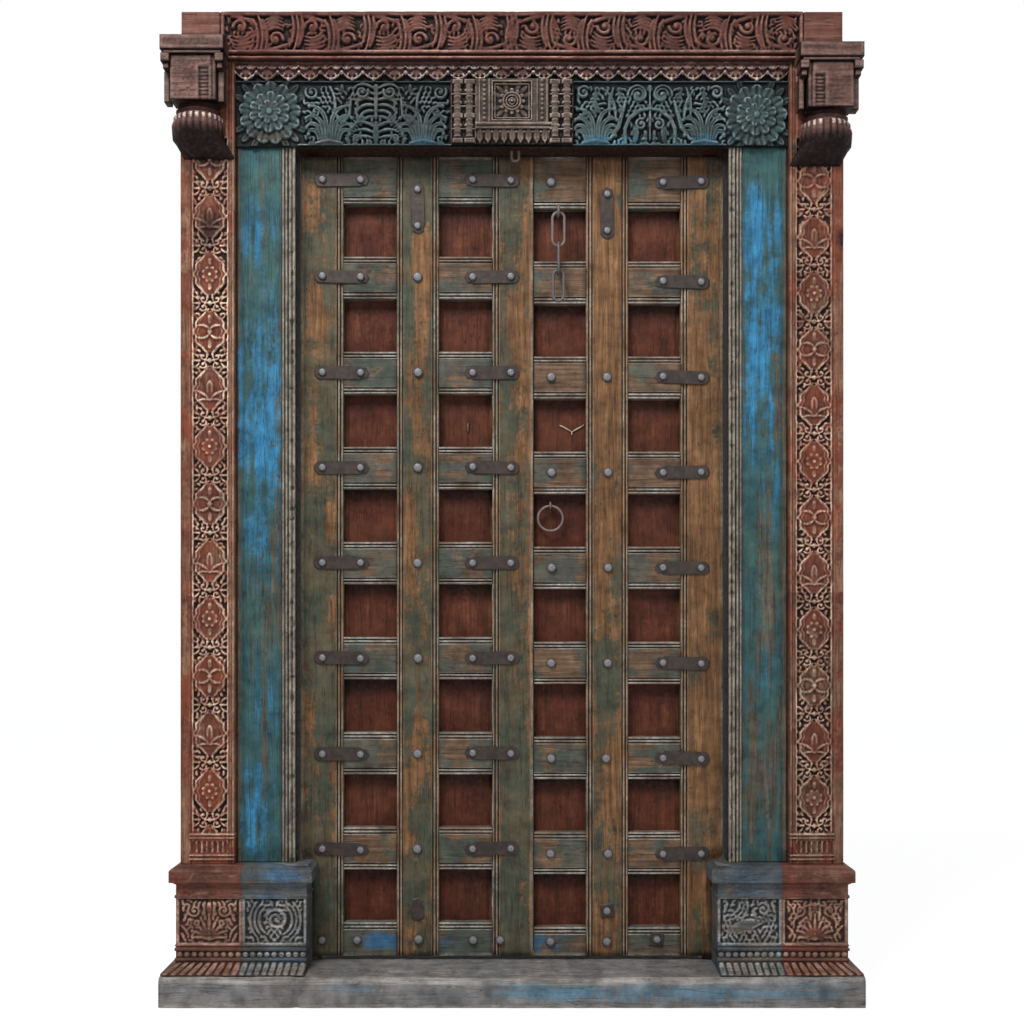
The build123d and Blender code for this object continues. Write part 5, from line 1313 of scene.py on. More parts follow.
def capital(finish, side):
    """A bracket capital: slab with corner lugs, fluted block, crested cushion and corbel."""
    name = SIDE_NAMES[side]
    top = 2344 if side < 0 else 2327
    middle = side * 772
    piece = Piece()

    def slab(low, high, bottom, up, face, back, seed, carve=None):
        wood = Carving(low, high, bottom, up, 2.6)
        if carve:
            carve(wood)
        wood.weather(seed, 0.1, 0.9)
        edge = np.minimum(np.minimum(wood.grid_x - low, high - wood.grid_x),
            np.minimum(wood.grid_z - bottom, up - wood.grid_z))
        wood.height -= 2.6 * clamp(1 - edge / 4) ** 2
        board(piece, wood, face + 1.2, back, full=3, ground=-6)

    def flutes(wood):
        x, z = wood.grid_x, wood.grid_z
        wood.height[:] = 1
        inner = (side * (x - middle) < -12) & (z < wood.z[-1] - 26)
        wave = np.abs(np.mod(z, 9) / 9 - 0.5) * 2
        wood.height = np.where(inner & (side * (x - middle) > -38), -0.6 - 3.2 * wave, wood.height)
        wood.cut(side * (x - middle + side * 42) < 0, 0)
        upright = np.abs(np.mod(side * (x - middle), 9) / 9 - 0.5) * 2
        wood.height = np.where(side * (x - middle) < -43, -0.5 - 5 * upright, wood.height)

    low = top - 43
    half = 77
    slab(middle - half, middle + half, low + 8, top, -118, -45.2, 61 + side)
    slab(middle - half + 7, middle + half - 7, low, low + 8.5, -112, -45.2, 63 + side)
    slab(middle - 56, middle + 56, low - 108, low + 0.5, -101, -45.2, 64 + side, flutes)
    slab(middle - 56, middle + 56, low - 108, min(low, LINTEL_TOP) - 0.2, -46, -35.3, 66)
    for lug in (-1, 1):
        edge = middle + lug * 65
        slab(edge - 11, edge + 11, low - 20, low + 0.5, -114, -60, 67 + lug)
        slab(edge - 7, edge + 7, low - 34, low - 19.5, -104, -60, 68 + lug)
        slab(edge - 9.5, edge + 5.5 + 1.5 * lug, low - 108, low - 33.5, -82, -45.2, 72 + lug)
    waist = low - 108
    foot = side * (POST_MIDDLE + 2)
    near = middle + 0.35 * (foot - middle)
    rows = [(waist + 1, middle, 52, 46, 0), (waist - 9, middle, 50, 44, 0), (waist - 11, middle, 55, 50, 0),
        (waist - 15, middle, 55, 50, 0), (waist - 17, middle, 51, 45, 0), (waist - 23, middle, 52, 47, 0),
        (waist - 25, middle, 58, 55, 0.5), (waist - 30, middle, 61.5, 60, 3), (waist - 36, middle, 62, 61, 4),
        (waist - 39, middle, 60, 57, 1), (waist - 42, middle, 63.5, 62, 4), (waist - 51, middle, 66, 65.5, 6),
        (waist - 61, middle, 65.5, 62, 4), (waist - 71, middle, 64.5, 55, 1.5),
        (waist - 80, middle, 63.5, 48, 0), (waist - 92, near, 63, 36, 0),
        (waist - 106, (near + foot) / 2, 63, 24, 0), (waist - 120, foot, 63, 10, 0),
        (waist - 125, foot, 62, 2, 0)]
    corbel(piece, rows[::-1])

    def paint(px, pz):
        # Painted shade: the corbel below the cushion is darkened, and so is the neck under the fluted block.
        # Painted highlight: the cushion's crest gets cream and bare wood.
        dark = clamp((waist - 46 - pz) / 22)
        crest = np.abs(pz - (waist - 31)) < 8
        shade = clamp(1 - np.abs(pz - (waist - 10)) / 13)
        return {"cream": 0.15 + 1.8 * crest * (noise(px, pz, 9, 3) > -0.5),
            "stain_and_shade": 0.02 + 1.05 * dark + 0.75 * shade,
            "bare": 0.5 * (pz > waist) + 0.8 * crest + 0.35 * noise(px, pz, 40, 8)}

    piece.make(f"{name}_bracket_capital", finish["capital"], "frame", "crown_wood", [f"{name}_capital"],
        paint)


def sill(finish):
    """The threshold beam, hollowed by feet along its front arris."""
    section = [(0.3, -124.5), (0.3, 124.5), (75.8, 124.5), (75.8, -116), (67, -124.5)]

    def shape(ring, station):
        ring = ring.copy()
        tread = np.exp(-((station / 330) ** 2))
        front = ring[:, 1] < -60
        top = ring[:, 0]
        low = top - 4.5 * tread - 1.5 * (1 + noise(station, 0, 60, 4))
        ring[:, 0] = np.where(front & (top > 60), low, top)
        joint = abs(station + 518) < 4
        ring[:, 1] = np.where(front & joint, ring[:, 1] + 4, ring[:, 1])
        return ring

    piece = Piece()
    bar(piece, section, -849.5, 849.5, "x", 11, 0.8, 10, 11, 3, shape)

    def paint(px, pz):
        blue = spots(px, pz, [(120, 40, 150, 22, 0.75), (420, 36, 260, 26, 0.6), (700, 38, 120, 24, 0.55),
            (-380, 50, 90, 12, 0.35), (-700, 40, 90, 20, 0.15)])
        return {"azure": blue, "cream": 0.3, "bare": 0.12 * noise(px, pz, 80, 2),
            "stain_and_shade": 0.12 + 0.2 * (noise(px, pz, 90, 6) > 0.3)}

    piece.make("worn_sill", finish["sill"], "frame", "sill_wood", ["threshold"], paint)


# Leaves


MOULDING = [(0, 47), (1.5, 43.6), (5, 42.6), (6.4, 46.6), (8.2, 46.6), (9.6, 42.6), (13.2, 42.2),
    (14.6, 45.6), (16.2, 45.6), (17.6, 40.6), (20, 40.2)]


def moulded(low, high, low_edge, high_edge, back=PLANK_FACE):
    """A bar's section, with two beads along each edge that borders an opening."""
    points = [(low, back)]
    points += [(low + d, y) for d, y in MOULDING] if low_edge else [(low, 40.2)]
    points += [(high - d, y) for d, y in MOULDING[::-1]] if high_edge else [(high, 40.2)]
    return points + [(high, back)]


def rail_levels(drop):
    """The lower and upper edge of each rail, from the top down."""
    spans = [(LEAF_TOP - 118 - drop, LEAF_TOP)]
    for number in range(7):
        upper = LEAF_TOP - 118 - drop - OPENING - number * RAIL_PITCH
        spans.append((upper - RAIL_HEIGHT, upper))
    return spans + [(LEAF_BOTTOM, spans[-1][0] - OPENING)]


def leaf_paint(px, pz):
    """Where the leaves' paint is blue, gone or dark, with painted shadow along their tops under the lintel.
    """
    blue = spots(px, pz, [(-318, 124, 62, 20, 0.95), (80, 116, 40, 22, 0.8), (-180, 120, 60, 22, 0.25),
        (-60, 250, 34, 130, 0.25), (240, 1150, 12, 60, 0.4), (-470, 1960, 36, 60, 0.2),
        (-235, 760, 34, 60, 0.25), (-240, 520, 34, 60, 0.2)])
    right_side = px > 56
    bare = 0.2 * right_side - 0.08 + spots(px, pz, [(240, 1500, 56, 560, 0.5), (480, 1250, 56, 900, 0.42),
        (180, 2050, 70, 40, 0.6), (-262, 1130, 22, 130, 0.6), (20, 1250, 46, 900, 0.5),
        (480, 1900, 50, 160, 0.3), (-235, 1600, 26, 300, 0.25), (380, 1680, 90, 60, 0.4),
        (140, 1650, 60, 420, 0.4), (-330, 356, 120, 50, 0.5), (-130, 600, 70, 60, 0.4),
        (250, 500, 50, 200, 0.25)])
    worn = 0.42 * noise(px * 1.3, pz / 2.2, 60, 6) + 0.22 * noise(px, pz, 24, 2)
    # The darkening along the top of the leaves is painted shadow cast by the lintel.
    return {"azure": blue, "bare": bare + worn, "cream": 0.6 + 0.5 * noise(px, pz, 60, 3),
        "stain_and_shade": 0.02 + 0.25 * clamp((pz - 2030) / 50) + 0.2 * (pz > 500) * clamp(noise(px, pz, 110, 9))}


def panel_paint(px, pz):
    """Painted shade darkens the top of each opening under its rail, and the middle of each opening is left
    barer.
    """
    soot_and_shade = np.zeros(len(px))
    paled = np.zeros(len(px))
    for right_leaf, drop in ((False, 0), (True, RIGHT_DROP)):
        here = (px > MEETING_LINE) == right_leaf
        levels = rail_levels(drop)
        for (upper, _), (_, lower) in zip(levels, levels[1:]):
            inside = here & (pz < upper) & (pz > lower)
            # Painted shade: darkest just under the rail above, gone 44 mm lower.
            soot_and_shade = np.where(inside, clamp(1 - (upper - pz) / 44) * 0.9, soot_and_shade)
            paled = np.where(inside, clamp(1 - np.abs(pz - lower - 55) / 50), paled)
    return {"cream": 0.3, "bare": 0.3 * paled + 0.25 * noise(px, pz, 70, 2),
        "stain_and_shade": 0.04 + soot_and_shade + 0.25 * clamp(noise(px, pz, 100, 4))}


def rails(finish, side, start, end, middle, drop):
    """The rails of a leaf, each in two lengths on a tongue that passes behind the centre stile."""
    body = f"{side}_leaf"
    names = ["top_rail"] + [f"rail_{number}" for number in range(1, 8)] + ["bottom_rail"]
    for number, (name, (low, high)) in enumerate(zip(names, rail_levels(drop))):
        piece = Piece()
        section = moulded(low, high, name != "bottom_rail", name != "top_rail")
        seed = number + (20 if side == "right" else 0)
        bar(piece, section, start, middle - HALF_STILE, "x", seed, 0.45, 12, 12)
        bar(piece, section, middle + HALF_STILE, end, "x", seed + 40, 0.45, 12, 12)
        tongue = [(low + 1, 57), (low + 1, PLANK_FACE - 1), (high - 1, PLANK_FACE - 1), (high - 1, 57)]
        bar(piece, tongue, middle - HALF_STILE, middle + HALF_STILE, "x", seed, 0.1, 60, 60)
        piece.make(f"{side}_moulded_{name}", finish["level"], body, "leaf_wood", [f"{side}_{name}"],
            leaf_paint)


def uprights(finish):
    """The stiles of both leaves and the meeting post."""
    for side, middle in (("left", LEFT_MIDDLE), ("right", RIGHT_MIDDLE)):
        piece = Piece()
        section = moulded(middle - HALF_STILE, middle + HALF_STILE, True, True, 56)
        bar(piece, section, LEAF_BOTTOM, LEAF_TOP, "z", 5 + middle, 0.45, 15, 12)
        core = [(middle - HALF_STILE + 1, 56), (middle + HALF_STILE - 1, 56), (middle + HALF_STILE - 1, 71.5),
            (middle - HALF_STILE + 1, 71.5)]
        levels = rail_levels(0 if side == "left" else RIGHT_DROP)
        for (low, _), (_, high) in zip(levels, levels[1:]):
            bar(piece, core, high, low, "z", 1, 0.1, 60, 60)
        piece.make(f"{side}_moulded_centre_stile", finish["upright"], f"{side}_leaf", "leaf_wood",
            [f"{side}_centre_stile"], leaf_paint)
    post = Piece()
    section = moulded(POST_EDGE, MEETING_FACE, True, False, LEAF_BACK)
    section[-1:] = [(MEETING_LINE, 70), (MEETING_LINE, LEAF_BACK)]

    def meet(ring, station):
        """The meeting edge keeps its line behind the bevel, so that no light passes."""
        ring = ring.copy()
        tight = (ring[:, 0] > 51) & (ring[:, 1] > 67)
        ring[:, 0] = np.where(tight, MEETING_LINE - 0.02, ring[:, 0])
        return ring

    bar(post, section, LEAF_BOTTOM, LEAF_TOP, "z", 31, 0.5, 15, 12, 1.4, meet)
    post.make("worn_meeting_post", finish["upright"], "left_leaf", "leaf_wood", ["meeting_post"], leaf_paint)


def hinge_stile(finish, side):
    """The thick outer stile with its round heel, wooden pivots and the notch that clears the plinth."""
    name = SIDE_NAMES[side]
    section = [(side * (STILE_IN + d), y) for d, y in MOULDING]
    section += [(side * LEAF_OUT, 40.2), (side * LEAF_OUT, 70)]
    heel = [radians(angle) for angle in (22, 45, 68)]
    section += [(side * (PIVOT_X + 30 * cos(angle)), PIVOT_Y + 30 * sin(angle)) for angle in heel]
    section += [(side * PIVOT_X, LEAF_BACK), (side * STILE_IN, LEAF_BACK)]

    def shape(ring, station):
        ring = ring.copy()
        cut = (side * ring[:, 0] > 499) & (ring[:, 1] < 52.6) & (station < 345)
        ring[:, 1] = np.where(cut, 52.8, ring[:, 1])
        return ring

    piece = Piece()
    bar(piece, section, LEAF_BOTTOM, LEAF_TOP, "z", 50 + side, 0.45, 14, 11, 1.2, shape)
    turned(piece, side * PIVOT_X, PIVOT_Y, [(19.6, 56.3), (20, 58), (20, 87)])
    turned(piece, side * PIVOT_X, PIVOT_Y, [(18, 2099), (18, 2128), (17, 2129.8)])
    piece.make(f"{name}_heeled_stile", finish["upright"], f"{name}_leaf", "leaf_wood",
        [f"{name}_hinge_stile"], leaf_paint)


def planks(finish):
    """The planks behind the grid and the ledges across their backs."""
    boards = [("left_plank_outer", "left", -STILE_IN, LEFT_MIDDLE),
        ("left_plank_inner", "left", LEFT_MIDDLE, POST_EDGE),
        ("right_plank_inner", "right", RIGHT_PLANK_EDGE, RIGHT_MIDDLE),
        ("right_plank_outer", "right", RIGHT_MIDDLE, STILE_IN)]

    def meet(ring, station):
        ring = ring.copy()
        ring[:, 0] = np.where(ring[:, 0] < RIGHT_PLANK_EDGE + 2, RIGHT_PLANK_EDGE + 0.02, ring[:, 0])
        return ring

    for number, (node, side, low, high) in enumerate(boards):
        piece = Piece()
        gap = 0.3
        section = [(low + gap, 72.2), (high - gap, 72.2), (high - gap, 99.6), (low + gap, 99.6)]
        edge = meet if low == RIGHT_PLANK_EDGE else None
        bar(piece, section, LEAF_BOTTOM + 0.5, LEAF_TOP - 0.5, "z", 70 + number, 0.5, 22, 14, 0.8, edge)
        piece.make(f"{node}_sawn", finish["panel"], f"{side}_leaf", "panel_wood", [node], panel_paint)
    for side, low, high, drop in (("left", -445, 42, 0), ("right", 66.5, 445, RIGHT_DROP)):
        levels = rail_levels(drop)
        for place, (bottom, up) in (("upper", levels[1]), ("lower", levels[-2])):
            middle = (bottom + up) / 2
            piece = Piece()
            section = [(middle - 45, 100), (middle + 45, 100), (middle + 45, 122), (middle - 45, 122)]
            bar(piece, section, low, high, "x", 80, 0.7, 14, 12, 3)
            node = f"{side}_{place}_ledge"
            piece.make(f"{node}_batten", finish["panel"], f"{side}_leaf", "panel_wood", [node], panel_paint)


# Iron


def strap_outline(length, height, point):
    """Half round a strap: one end drawn out to a blunt spear, the other rounded."""
    x, z = length / 2, height / 2
    return [(-x, -z * 0.35), (-x + point * 0.5, -z * 0.85), (-x + point, -z), (x - point * 2.0, -z),
        (x - point * 1.2, -z * 0.72), (x - point * 0.6, -z * 0.8), (x, 0), (x - point * 0.6, z * 0.8),
        (x - point * 1.2, z * 0.72), (x - point * 2.0, z), (-x + point, z), (-x + point * 0.5, z * 0.85),
        (-x, z * 0.35)]


def plate(piece, outline, x, z, turn, face, thick, seed=0):
    """A thin forged plate that lies on the wood, with its arris hammered down."""
    a = radians(turn)
    outline = np.array(outline, float)
    outline = outline + 0.9 * np.column_stack([noise(outline[:, 0], outline[:, 1], 20, seed),
        noise(outline[:, 1], outline[:, 0], 20, seed)])
    count = len(outline)
    inner = outline * (1 - 2.2 / np.maximum(np.linalg.norm(outline, axis=1), 4))[:, None]
    rings = ((outline, face), (outline, face - thick * 0.6), (inner, face - thick))
    points = []
    for ring, y in rings:
        points.append(np.column_stack([x + ring[:, 0] * cos(a) - ring[:, 1] * sin(a), np.full(count, y),
            z + ring[:, 0] * sin(a) + ring[:, 1] * cos(a)]))
    faces = tube_faces(3, count)
    faces += [list(range(count))[::-1], [2 * count + index for index in range(count)]]
    ridge = np.concatenate([np.full(count, -0.4), np.full(count, 0.4), np.full(count, 0.02)])
    piece.add(np.concatenate(points), faces, False, 0.6, ridge)


def nail_tree():
    """Geometry Nodes for forged nail heads: a low faceted dome on each place, turned at random."""
    tree = bpy.data.node_groups.new("forged nail heads", "GeometryNodeTree")
    sockets = {}
    for label, kind, value in (("Places", "NodeSocketGeometry", None), ("Facets", "NodeSocketInt", 9),
            ("Rings", "NodeSocketInt", 8), ("Flatness", "NodeSocketFloat", 0.82),
            ("Seed", "NodeSocketInt", 7), ("Iron", "NodeSocketMaterial", None)):
        sockets[label] = tree.interface.new_socket(label, in_out="INPUT", socket_type=kind)
        if value is not None:
            sockets[label].default_value = value
    tree.interface.new_socket("Heads", in_out="OUTPUT", socket_type="NodeSocketGeometry")

    def node(kind, **given):
        made = tree.nodes.new(kind)
        for label, value in given.items():
            put(tree, made.inputs[label.replace("_", " ")], value)
        return made

    start, end = tree.nodes.new("NodeGroupInput"), tree.nodes.new("NodeGroupOutput")
    ball = node("GeometryNodeMeshUVSphere", Segments=start.outputs["Facets"], Rings=start.outputs["Rings"],
        Radius=1.0)
    laid = node("GeometryNodeTransform", Geometry=ball.outputs["Mesh"], Rotation=(pi / 2, 0, 0))
    spot = node("ShaderNodeSeparateXYZ", Vector=tree.nodes.new("GeometryNodeInputPosition").outputs[0])
    rise = work(tree, "MAXIMUM", work(tree, "MULTIPLY", spot.outputs["Y"], -1.0), 0.0)
    rise = work(tree, "MINIMUM", rise, start.outputs["Flatness"])
    rise = work(tree, "DIVIDE", rise, start.outputs["Flatness"])
    dome = node("ShaderNodeCombineXYZ", X=spot.outputs["X"], Y=work(tree, "MULTIPLY", rise, -1.0),
        Z=spot.outputs["Z"])
    # The ridge mark is highest at each dome's top, where the iron finish paints its pale, partly a painted
    # highlight.
    marked = node("GeometryNodeStoreNamedAttribute", Geometry=laid.outputs[0], Name="ridge")
    put(tree, marked.inputs["Value"], work(tree, "MULTIPLY_ADD", rise, 0.9, 0.1))
    pressed = node("GeometryNodeSetPosition", Geometry=marked.outputs[0], Position=dome.outputs[0])
    sizes = []
    for label in ("radius", "rise"):
        size = node("GeometryNodeInputNamedAttribute", Name=label)
        sizes.append(size.outputs["Attribute"])
    scale = node("ShaderNodeCombineXYZ", X=sizes[0], Y=sizes[1], Z=sizes[0])
    chance = tree.nodes.new("FunctionNodeRandomValue")
    chance.data_type = "FLOAT"
    put(tree, chance.inputs["Seed"], start.outputs["Seed"])
    spin = node("ShaderNodeCombineXYZ", Y=work(tree, "MULTIPLY", chance.outputs[1], 2 * pi))
    heads = node("GeometryNodeInstanceOnPoints", Points=start.outputs["Places"], Instance=pressed.outputs[0],
        Rotation=spin.outputs[0], Scale=scale.outputs[0])
    real = node("GeometryNodeRealizeInstances", Geometry=heads.outputs[0])
    dressed = node("GeometryNodeSetMaterial", Geometry=real.outputs[0], Material=start.outputs["Iron"])
    tree.links.new(dressed.outputs[0], end.inputs[0])
    return tree, {label: socket.identifier for label, socket in sockets.items()}


def nail_heads(piece, places, iron, tree, names, seed):
    """Add the heads at places of (x, face, z, radius, rise) to a piece, as a plain mesh."""
    mesh = bpy.data.meshes.new("nail places")
    mesh.from_pydata([place[:3] for place in places], [], [])
    for column, label in ((3, "radius"), (4, "rise")):
        layer = mesh.attributes.new(label, "FLOAT", "POINT")
        layer.data.foreach_set("value", np.array([place[column] for place in places], np.float32))
    holder = placed("nail places", mesh)
    modifier = holder.modifiers.new("heads", "NODES")
    modifier.node_group = tree
    modifier[names["Seed"]] = seed
    modifier[names["Iron"]] = iron
    made = bpy.data.meshes.new_from_object(holder.evaluated_get(bpy.context.evaluated_depsgraph_get()))
    holder.modifiers.remove(modifier)
    bpy.data.objects.remove(holder)
    points = np.empty(len(made.vertices) * 3)
    made.vertices.foreach_get("co", points)
    ridge = np.empty(len(made.vertices))
    made.attributes["ridge"].data.foreach_get("value", ridge)
    faces = [list(face.vertices) for face in made.polygons]
    piece.add(points.reshape(-1, 3), faces, False, 0.6, ridge)
    bpy.data.meshes.remove(made)


def ironwork(finish):
    """The straps and studs of both leaves, each set a little askew as in the original."""
    left_straps, left_studs, right_straps, right_studs = Piece(), Piece(), Piece(), Piece()
    left_heads, right_heads = [], []
    left_levels, right_levels = rail_levels(0), rail_levels(RIGHT_DROP)
    for number, (low, high) in enumerate(left_levels[:-1]):
        z = (low + high) / 2
        for x, ahead in ((-429, 1), (POST_EDGE - 1, -1)):
            turn = 2.2 * noise(number * 50, x, 31, 5)
            outline = [(ahead * px, pz) for px, pz in strap_outline(138, 33, 11)]
            place = z + 1.5 * noise(x, number * 40, 17, 2)
            plate(left_straps, outline, x, place, turn, LEAF_FACE, 4, number)
            for step in (-48, 48):
                left_heads.append((x + step, 36, place + step * sin(radians(turn)), HEAD, HEAD_RISE))
    for number, (low, high) in enumerate(right_levels[:-1]):
        z = (low + high) / 2
        turn = 2.0 * noise(number * 50, 425, 31, 8)
        outline = [(-px, pz) for px, pz in strap_outline(138, 33, 11)]
        plate(right_straps, outline, 428, z, turn, LEAF_FACE, 4, number + 30)
        for step in (-48, 48):
            right_heads.append((428 + step, 36, z + step * sin(radians(turn)), HEAD, HEAD_RISE))
    for straps, heads, x, levels in ((left_straps, left_heads, LEFT_MIDDLE, left_levels),
            (right_straps, right_heads, RIGHT_MIDDLE, right_levels)):
        z = levels[0][0] - 12
        plate(straps, [(px, pz) for px, pz in strap_outline(130, 34, 12)], x, z, 90 if x > 0 else -88,
            LEAF_FACE, 4, 3)
        for step in (-46, 46):
            heads.append((x, 36, z + step, 10, 8.5))
    for number, (low, high) in enumerate(left_levels[1:]):
        left_heads.append((-237.5 + noise(number, 0, 1, 3) * 2, LEAF_FACE, (low + high) / 2, 13, 9.5))
    plate(left_straps, strap_outline(58, 34, 10), -238, 205, 90, LEAF_FACE, 3.5, 9)
    for number, (low, high) in enumerate(right_levels):
        z = (low + high) / 2
        if number > 1:
            right_heads.append((239 + noise(number, 9, 1, 3) * 3, LEAF_FACE, z, 12.5, 9.5))
        if number != 1:
            right_heads.append((98 + noise(number, 5, 1, 3) * 2, LEAF_FACE, z, 12.5, 9.5))
    for x in (-479, -390, -98, -30):
        left_heads.append((x, LEAF_FACE, 126, 12, 9))
    square = [(-17, -17), (17, -17), (17, 17), (-17, 17)]
    plate(right_straps, square, 239, 200, 6, LEAF_FACE, 3.5, 4)
    plate(right_straps, square, 365, 128, -7, LEAF_FACE, 3.5, 6)
    right_heads.append((239, 36.5, 200, 11, 8))
    right_heads.append((365, 36.5, 128, 11, 8))
    path = np.array([(-112, 71, 1410), (-112, 68, 1412), (-112, 67.5, 1420), (-112, 68, 1430),
        (-112, 71, 1432)])
    wire(left_studs, path, 2.4, False, 8)
    iron = finish["iron"]
    tree, names = nail_tree()
    nail_heads(left_studs, left_heads, iron, tree, names, 11)
    nail_heads(right_studs, right_heads, iron, tree, names, 12)
    left_straps.make("left_forged_straps", iron, "left_leaf", "forged_iron", ["left_straps"])
    left_studs.make("left_forged_studs", iron, "left_leaf", "forged_iron", ["left_studs"])
    right_straps.make("right_forged_straps", iron, "right_leaf", "forged_iron", ["right_straps"])
    right_studs.make("right_forged_studs", iron, "right_leaf", "forged_iron", ["right_studs"])


def loop_path(length, width, radius, count=14):
    """The middle of a link's wire, hung below its top, in X and Z."""
    bend = width / 2 - radius
    low = -(length - 2 * radius - bend)
    top = [(bend * cos(a), -bend + bend * sin(a)) for a in np.linspace(0, pi, count)]
    foot = [(bend * cos(a), low + bend * sin(a)) for a in np.linspace(pi, 2 * pi, count)]
    left = [(-bend, z) for z in np.linspace(-bend, low, 6)[1:-1]]
    right = [(bend, z) for z in np.linspace(low, -bend, 6)[1:-1]]
    return np.array(top + left + foot + right)


def chain(finish):
    """The eye, two links and hasp of the chain, the pull ring in its eye, the pins and the keeper."""
    iron = finish["rubbed iron"]
    top = CHAIN_TOP
    links = (("chain_link_1", "forged_link_1", 92, 38, "link_one", False),
        ("chain_link_2", "forged_link_2", 86, 38, "link_two", True),
        ("chain_hasp", "forged_hasp", 84, 34, "hasp", False))
    for number, (node, name, length, width, body, turned_link) in enumerate(links):
        flat = loop_path(length, width, 4)
        still = np.zeros(len(flat))
        x, y = (still, flat[:, 0]) if turned_link else (flat[:, 0], still)
        piece = Piece()
        wire(piece, np.column_stack([CHAIN_X + x, CHAIN_Y + y, top + flat[:, 1]]), LINK_WIRE, True, 10,
            number)
        piece.make(name, iron if number == 0 else finish["iron"], body, "forged_iron", [node])
        top += 8 + 8.5 - length
    staples = (("chain_eye", "chain_eye_staple", CHAIN_X, CHAIN_Y, 1943, 13, LINK_WIRE),
        ("ring_eye", "ring_eye_staple", RING_X, RING_Y, RING_EYE_Z, 7.5, 2.6))
    for node, name, x, y, z, radius, size in staples:
        piece = Piece()
        angles = np.linspace(0, 2 * pi, 29)[:-1]
        loop = np.column_stack([np.full(28, float(x)), y + radius * np.cos(angles),
            z + radius + radius * np.sin(angles)])
        wire(piece, loop, size, True, 10, 3)
        shank = np.array([(x, y + radius - 1, z + radius), (x, 72, z + radius), (x, 99, z + radius)], float)
        wire(piece, shank, size, False, 10, 4)
        piece.make(name, iron, "right_leaf", "forged_iron", [node])
    ring = Piece()
    angles = np.linspace(0, 2 * pi, 41)[:-1]
    hang = RING_EYE_Z + 6.8 - RING_SIZE
    circle = [RING_X + RING_SIZE * np.cos(angles), np.full(40, float(RING_Y)),
        hang + RING_SIZE * np.sin(angles)]
    wire(ring, np.column_stack(circle), RING_WIRE, True, 10, 5)
    ring.make("forged_pull_ring", iron, "ring", "forged_iron", ["pull_ring"])
    pin = Piece()
    for path in ([(0, 71, 0), (8, 69.5, 5), (20, 69.8, 11), (31, 70.5, 18)],
            [(0, 71, 0), (-8, 69.5, 5), (-20, 69.8, 12), (-31, 70.5, 17)],
            [(0, 71, 2), (0, 69.5, -4), (0, 70.5, -8)]):
        wire(pin, np.array(path, float) + (PIN_X, 0, PIN_Z), 1.9, False, 8, 6)
    pin.make("clenched_split_pin", finish["pin"], "right_leaf", "forged_iron", ["split_pin"])
    keeper = Piece()
    bow = [(8 + 9 * cos(a), 14, 2089 + 9 * sin(a)) for a in np.linspace(pi, 2 * pi, 12)]
    path = [(-1, 14, 2134), (-1, 14, 2110)] + bow + [(17, 14, 2110), (17, 14, 2134)]
    wire(keeper, np.array(path, float), LINK_WIRE, False, 10, 7)
    keeper.make("soffit_keeper", iron, "frame", "forged_iron", ["keeper_staple"])


def plain_nodes(finish):
    """The lintel and the iron pivot cups keep their built form."""
    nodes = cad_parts
    for node, kind, slot in (("lintel", "panel", "frieze_wood"), ("pivot_cups", "iron", "forged_iron")):
        piece = nodes[node]
        piece.data.materials.clear()
        piece.data.materials.append(finish[kind])
        # An even stain of 0.7 darkens the lintel as painted shade, as its soffit lies in shade over the
        # leaves.
        for mark, value in (("lift", 0.8), ("ridge", 0.0), ("azure", 0.0), ("bare", 0.0), ("cream", 0.0),
                ("stain_and_shade", 0.7)):
            layer = piece.data.attributes.new(mark, "FLOAT", "POINT")
            layer.data.foreach_set("value", np.full(len(piece.data.vertices), value, np.float32))


# Studio


def white_to_camera(tree, plain, output, share=1.0, strength=1.0):
    """Shows a share of white to the camera, and the plain shader to everything else."""
    path = tree.nodes.new("ShaderNodeLightPath")
    seen = work(tree, "MAXIMUM", path.outputs["Is Camera Ray"], path.outputs["Is Glossy Ray"])
    seen = work(tree, "MAXIMUM", seen, path.outputs["Is Transmission Ray"])
    white = tree.nodes.new("ShaderNodeEmission" if output.type != "OUTPUT_WORLD" else "ShaderNodeBackground")
    white.inputs["Color"].default_value = (1, 1, 1, 1)
    seen = work(tree, "MULTIPLY", seen, share)
    white.inputs["Strength"].default_value = strength
    mix = tree.nodes.new("ShaderNodeMixShader")
    tree.links.new(seen, mix.inputs[0])
    tree.links.new(plain, mix.inputs[1])
    tree.links.new(white.outputs[0], mix.inputs[2])
    tree.links.new(mix.outputs[0], output.inputs["Surface"])


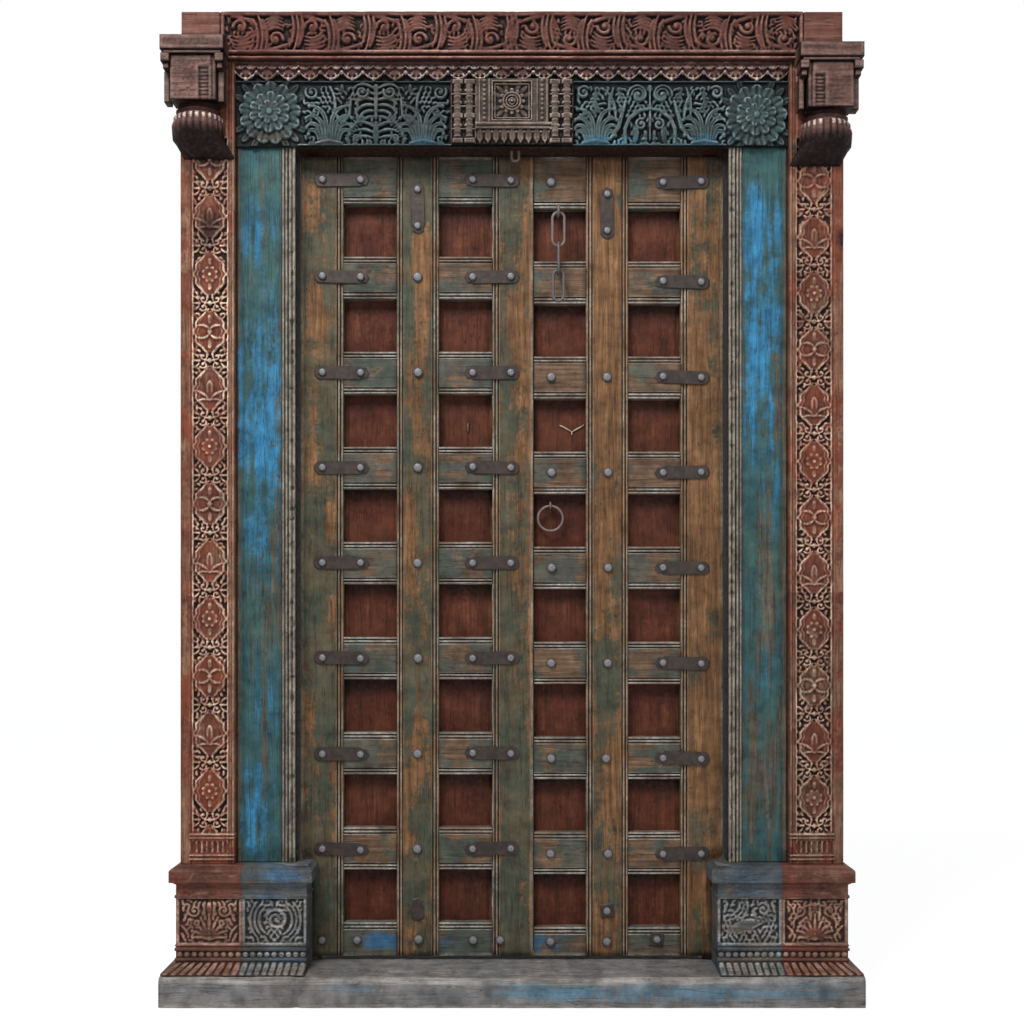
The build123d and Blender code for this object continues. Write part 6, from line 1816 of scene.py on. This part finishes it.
def studio():
    world = bpy.data.worlds.new("studio")
    bpy.context.scene.world = world
    world.use_nodes = True
    tree = world.node_tree
    plain = tree.nodes["Background"]
    plain.inputs["Color"].default_value = (0.93, 0.96, 1.0, 1)
    plain.inputs["Strength"].default_value = 0.36
    white_to_camera(tree, plain.outputs[0], tree.nodes["World Output"])
    floor_mesh = bpy.data.meshes.new("floor")
    size = 9.0
    floor_mesh.from_pydata([(-size, -size, -0.001), (size, -size, -0.001), (size, size, -0.001),
        (-size, size, -0.001)], [], [[0, 1, 2, 3]])
    floor = placed("studio_floor", floor_mesh)
    paper = bpy.data.materials.new("pale floor")
    paper.use_nodes = True
    shader = paper.node_tree.nodes["Principled BSDF"]
    shader.inputs["Base Color"].default_value = (0.75, 0.75, 0.75, 1)
    shader.inputs["Roughness"].default_value = 0.9
    white_to_camera(paper.node_tree, shader.outputs[0], paper.node_tree.nodes["Material Output"], 0.72, 1.25)
    floor_mesh.materials.append(paper)
    lamps = (("key", (-1.3, -2.7, 4.5), (0, 0, 1.2), 1.5, 196),
        ("fill", (2.4, -4.0, 2.0), (0, 0, 1.2), 2.6, 38))
    for name, place, target, wide, power in lamps:
        lamp = bpy.data.lights.new(name, "AREA")
        lamp.size = wide
        lamp.energy = power
        lamp_object = placed(name, lamp)
        lamp_object.location = place
        way = np.array(target) - np.array(place)
        lamp_object.rotation_euler = Vector(way).to_track_quat("-Z", "Y").to_euler()
    camera = bpy.data.cameras.new("camera")
    camera.lens = 48.34
    camera.sensor_width = 36
    camera.shift_y = 0.1006
    camera_object = placed("camera", camera)
    camera_object.location = (0, -3.425, 0.945)
    camera_object.rotation_euler = (pi / 2, 0, 0)
    bpy.context.scene.camera = camera_object
    bpy.context.scene.view_settings.view_transform = "Standard"


def build():
    finish = finishes()
    crown(finish)
    scallops(finish)
    frieze(finish)
    centre(finish)
    for side in (-1, 1):
        pilaster(finish, side)
        jamb(finish, side)
        plinth(finish, side, True)
        plinth(finish, side, False)
        capital(finish, side)
        hinge_stile(finish, side)
    sill(finish)
    uprights(finish)
    rails(finish, "left", -STILE_IN, POST_EDGE, LEFT_MIDDLE, 0)
    rails(finish, "right", RIGHT_RAIL_START, STILE_IN, RIGHT_MIDDLE, RIGHT_DROP)
    planks(finish)
    ironwork(finish)
    chain(finish)
    plain_nodes(finish)
    studio()


build()
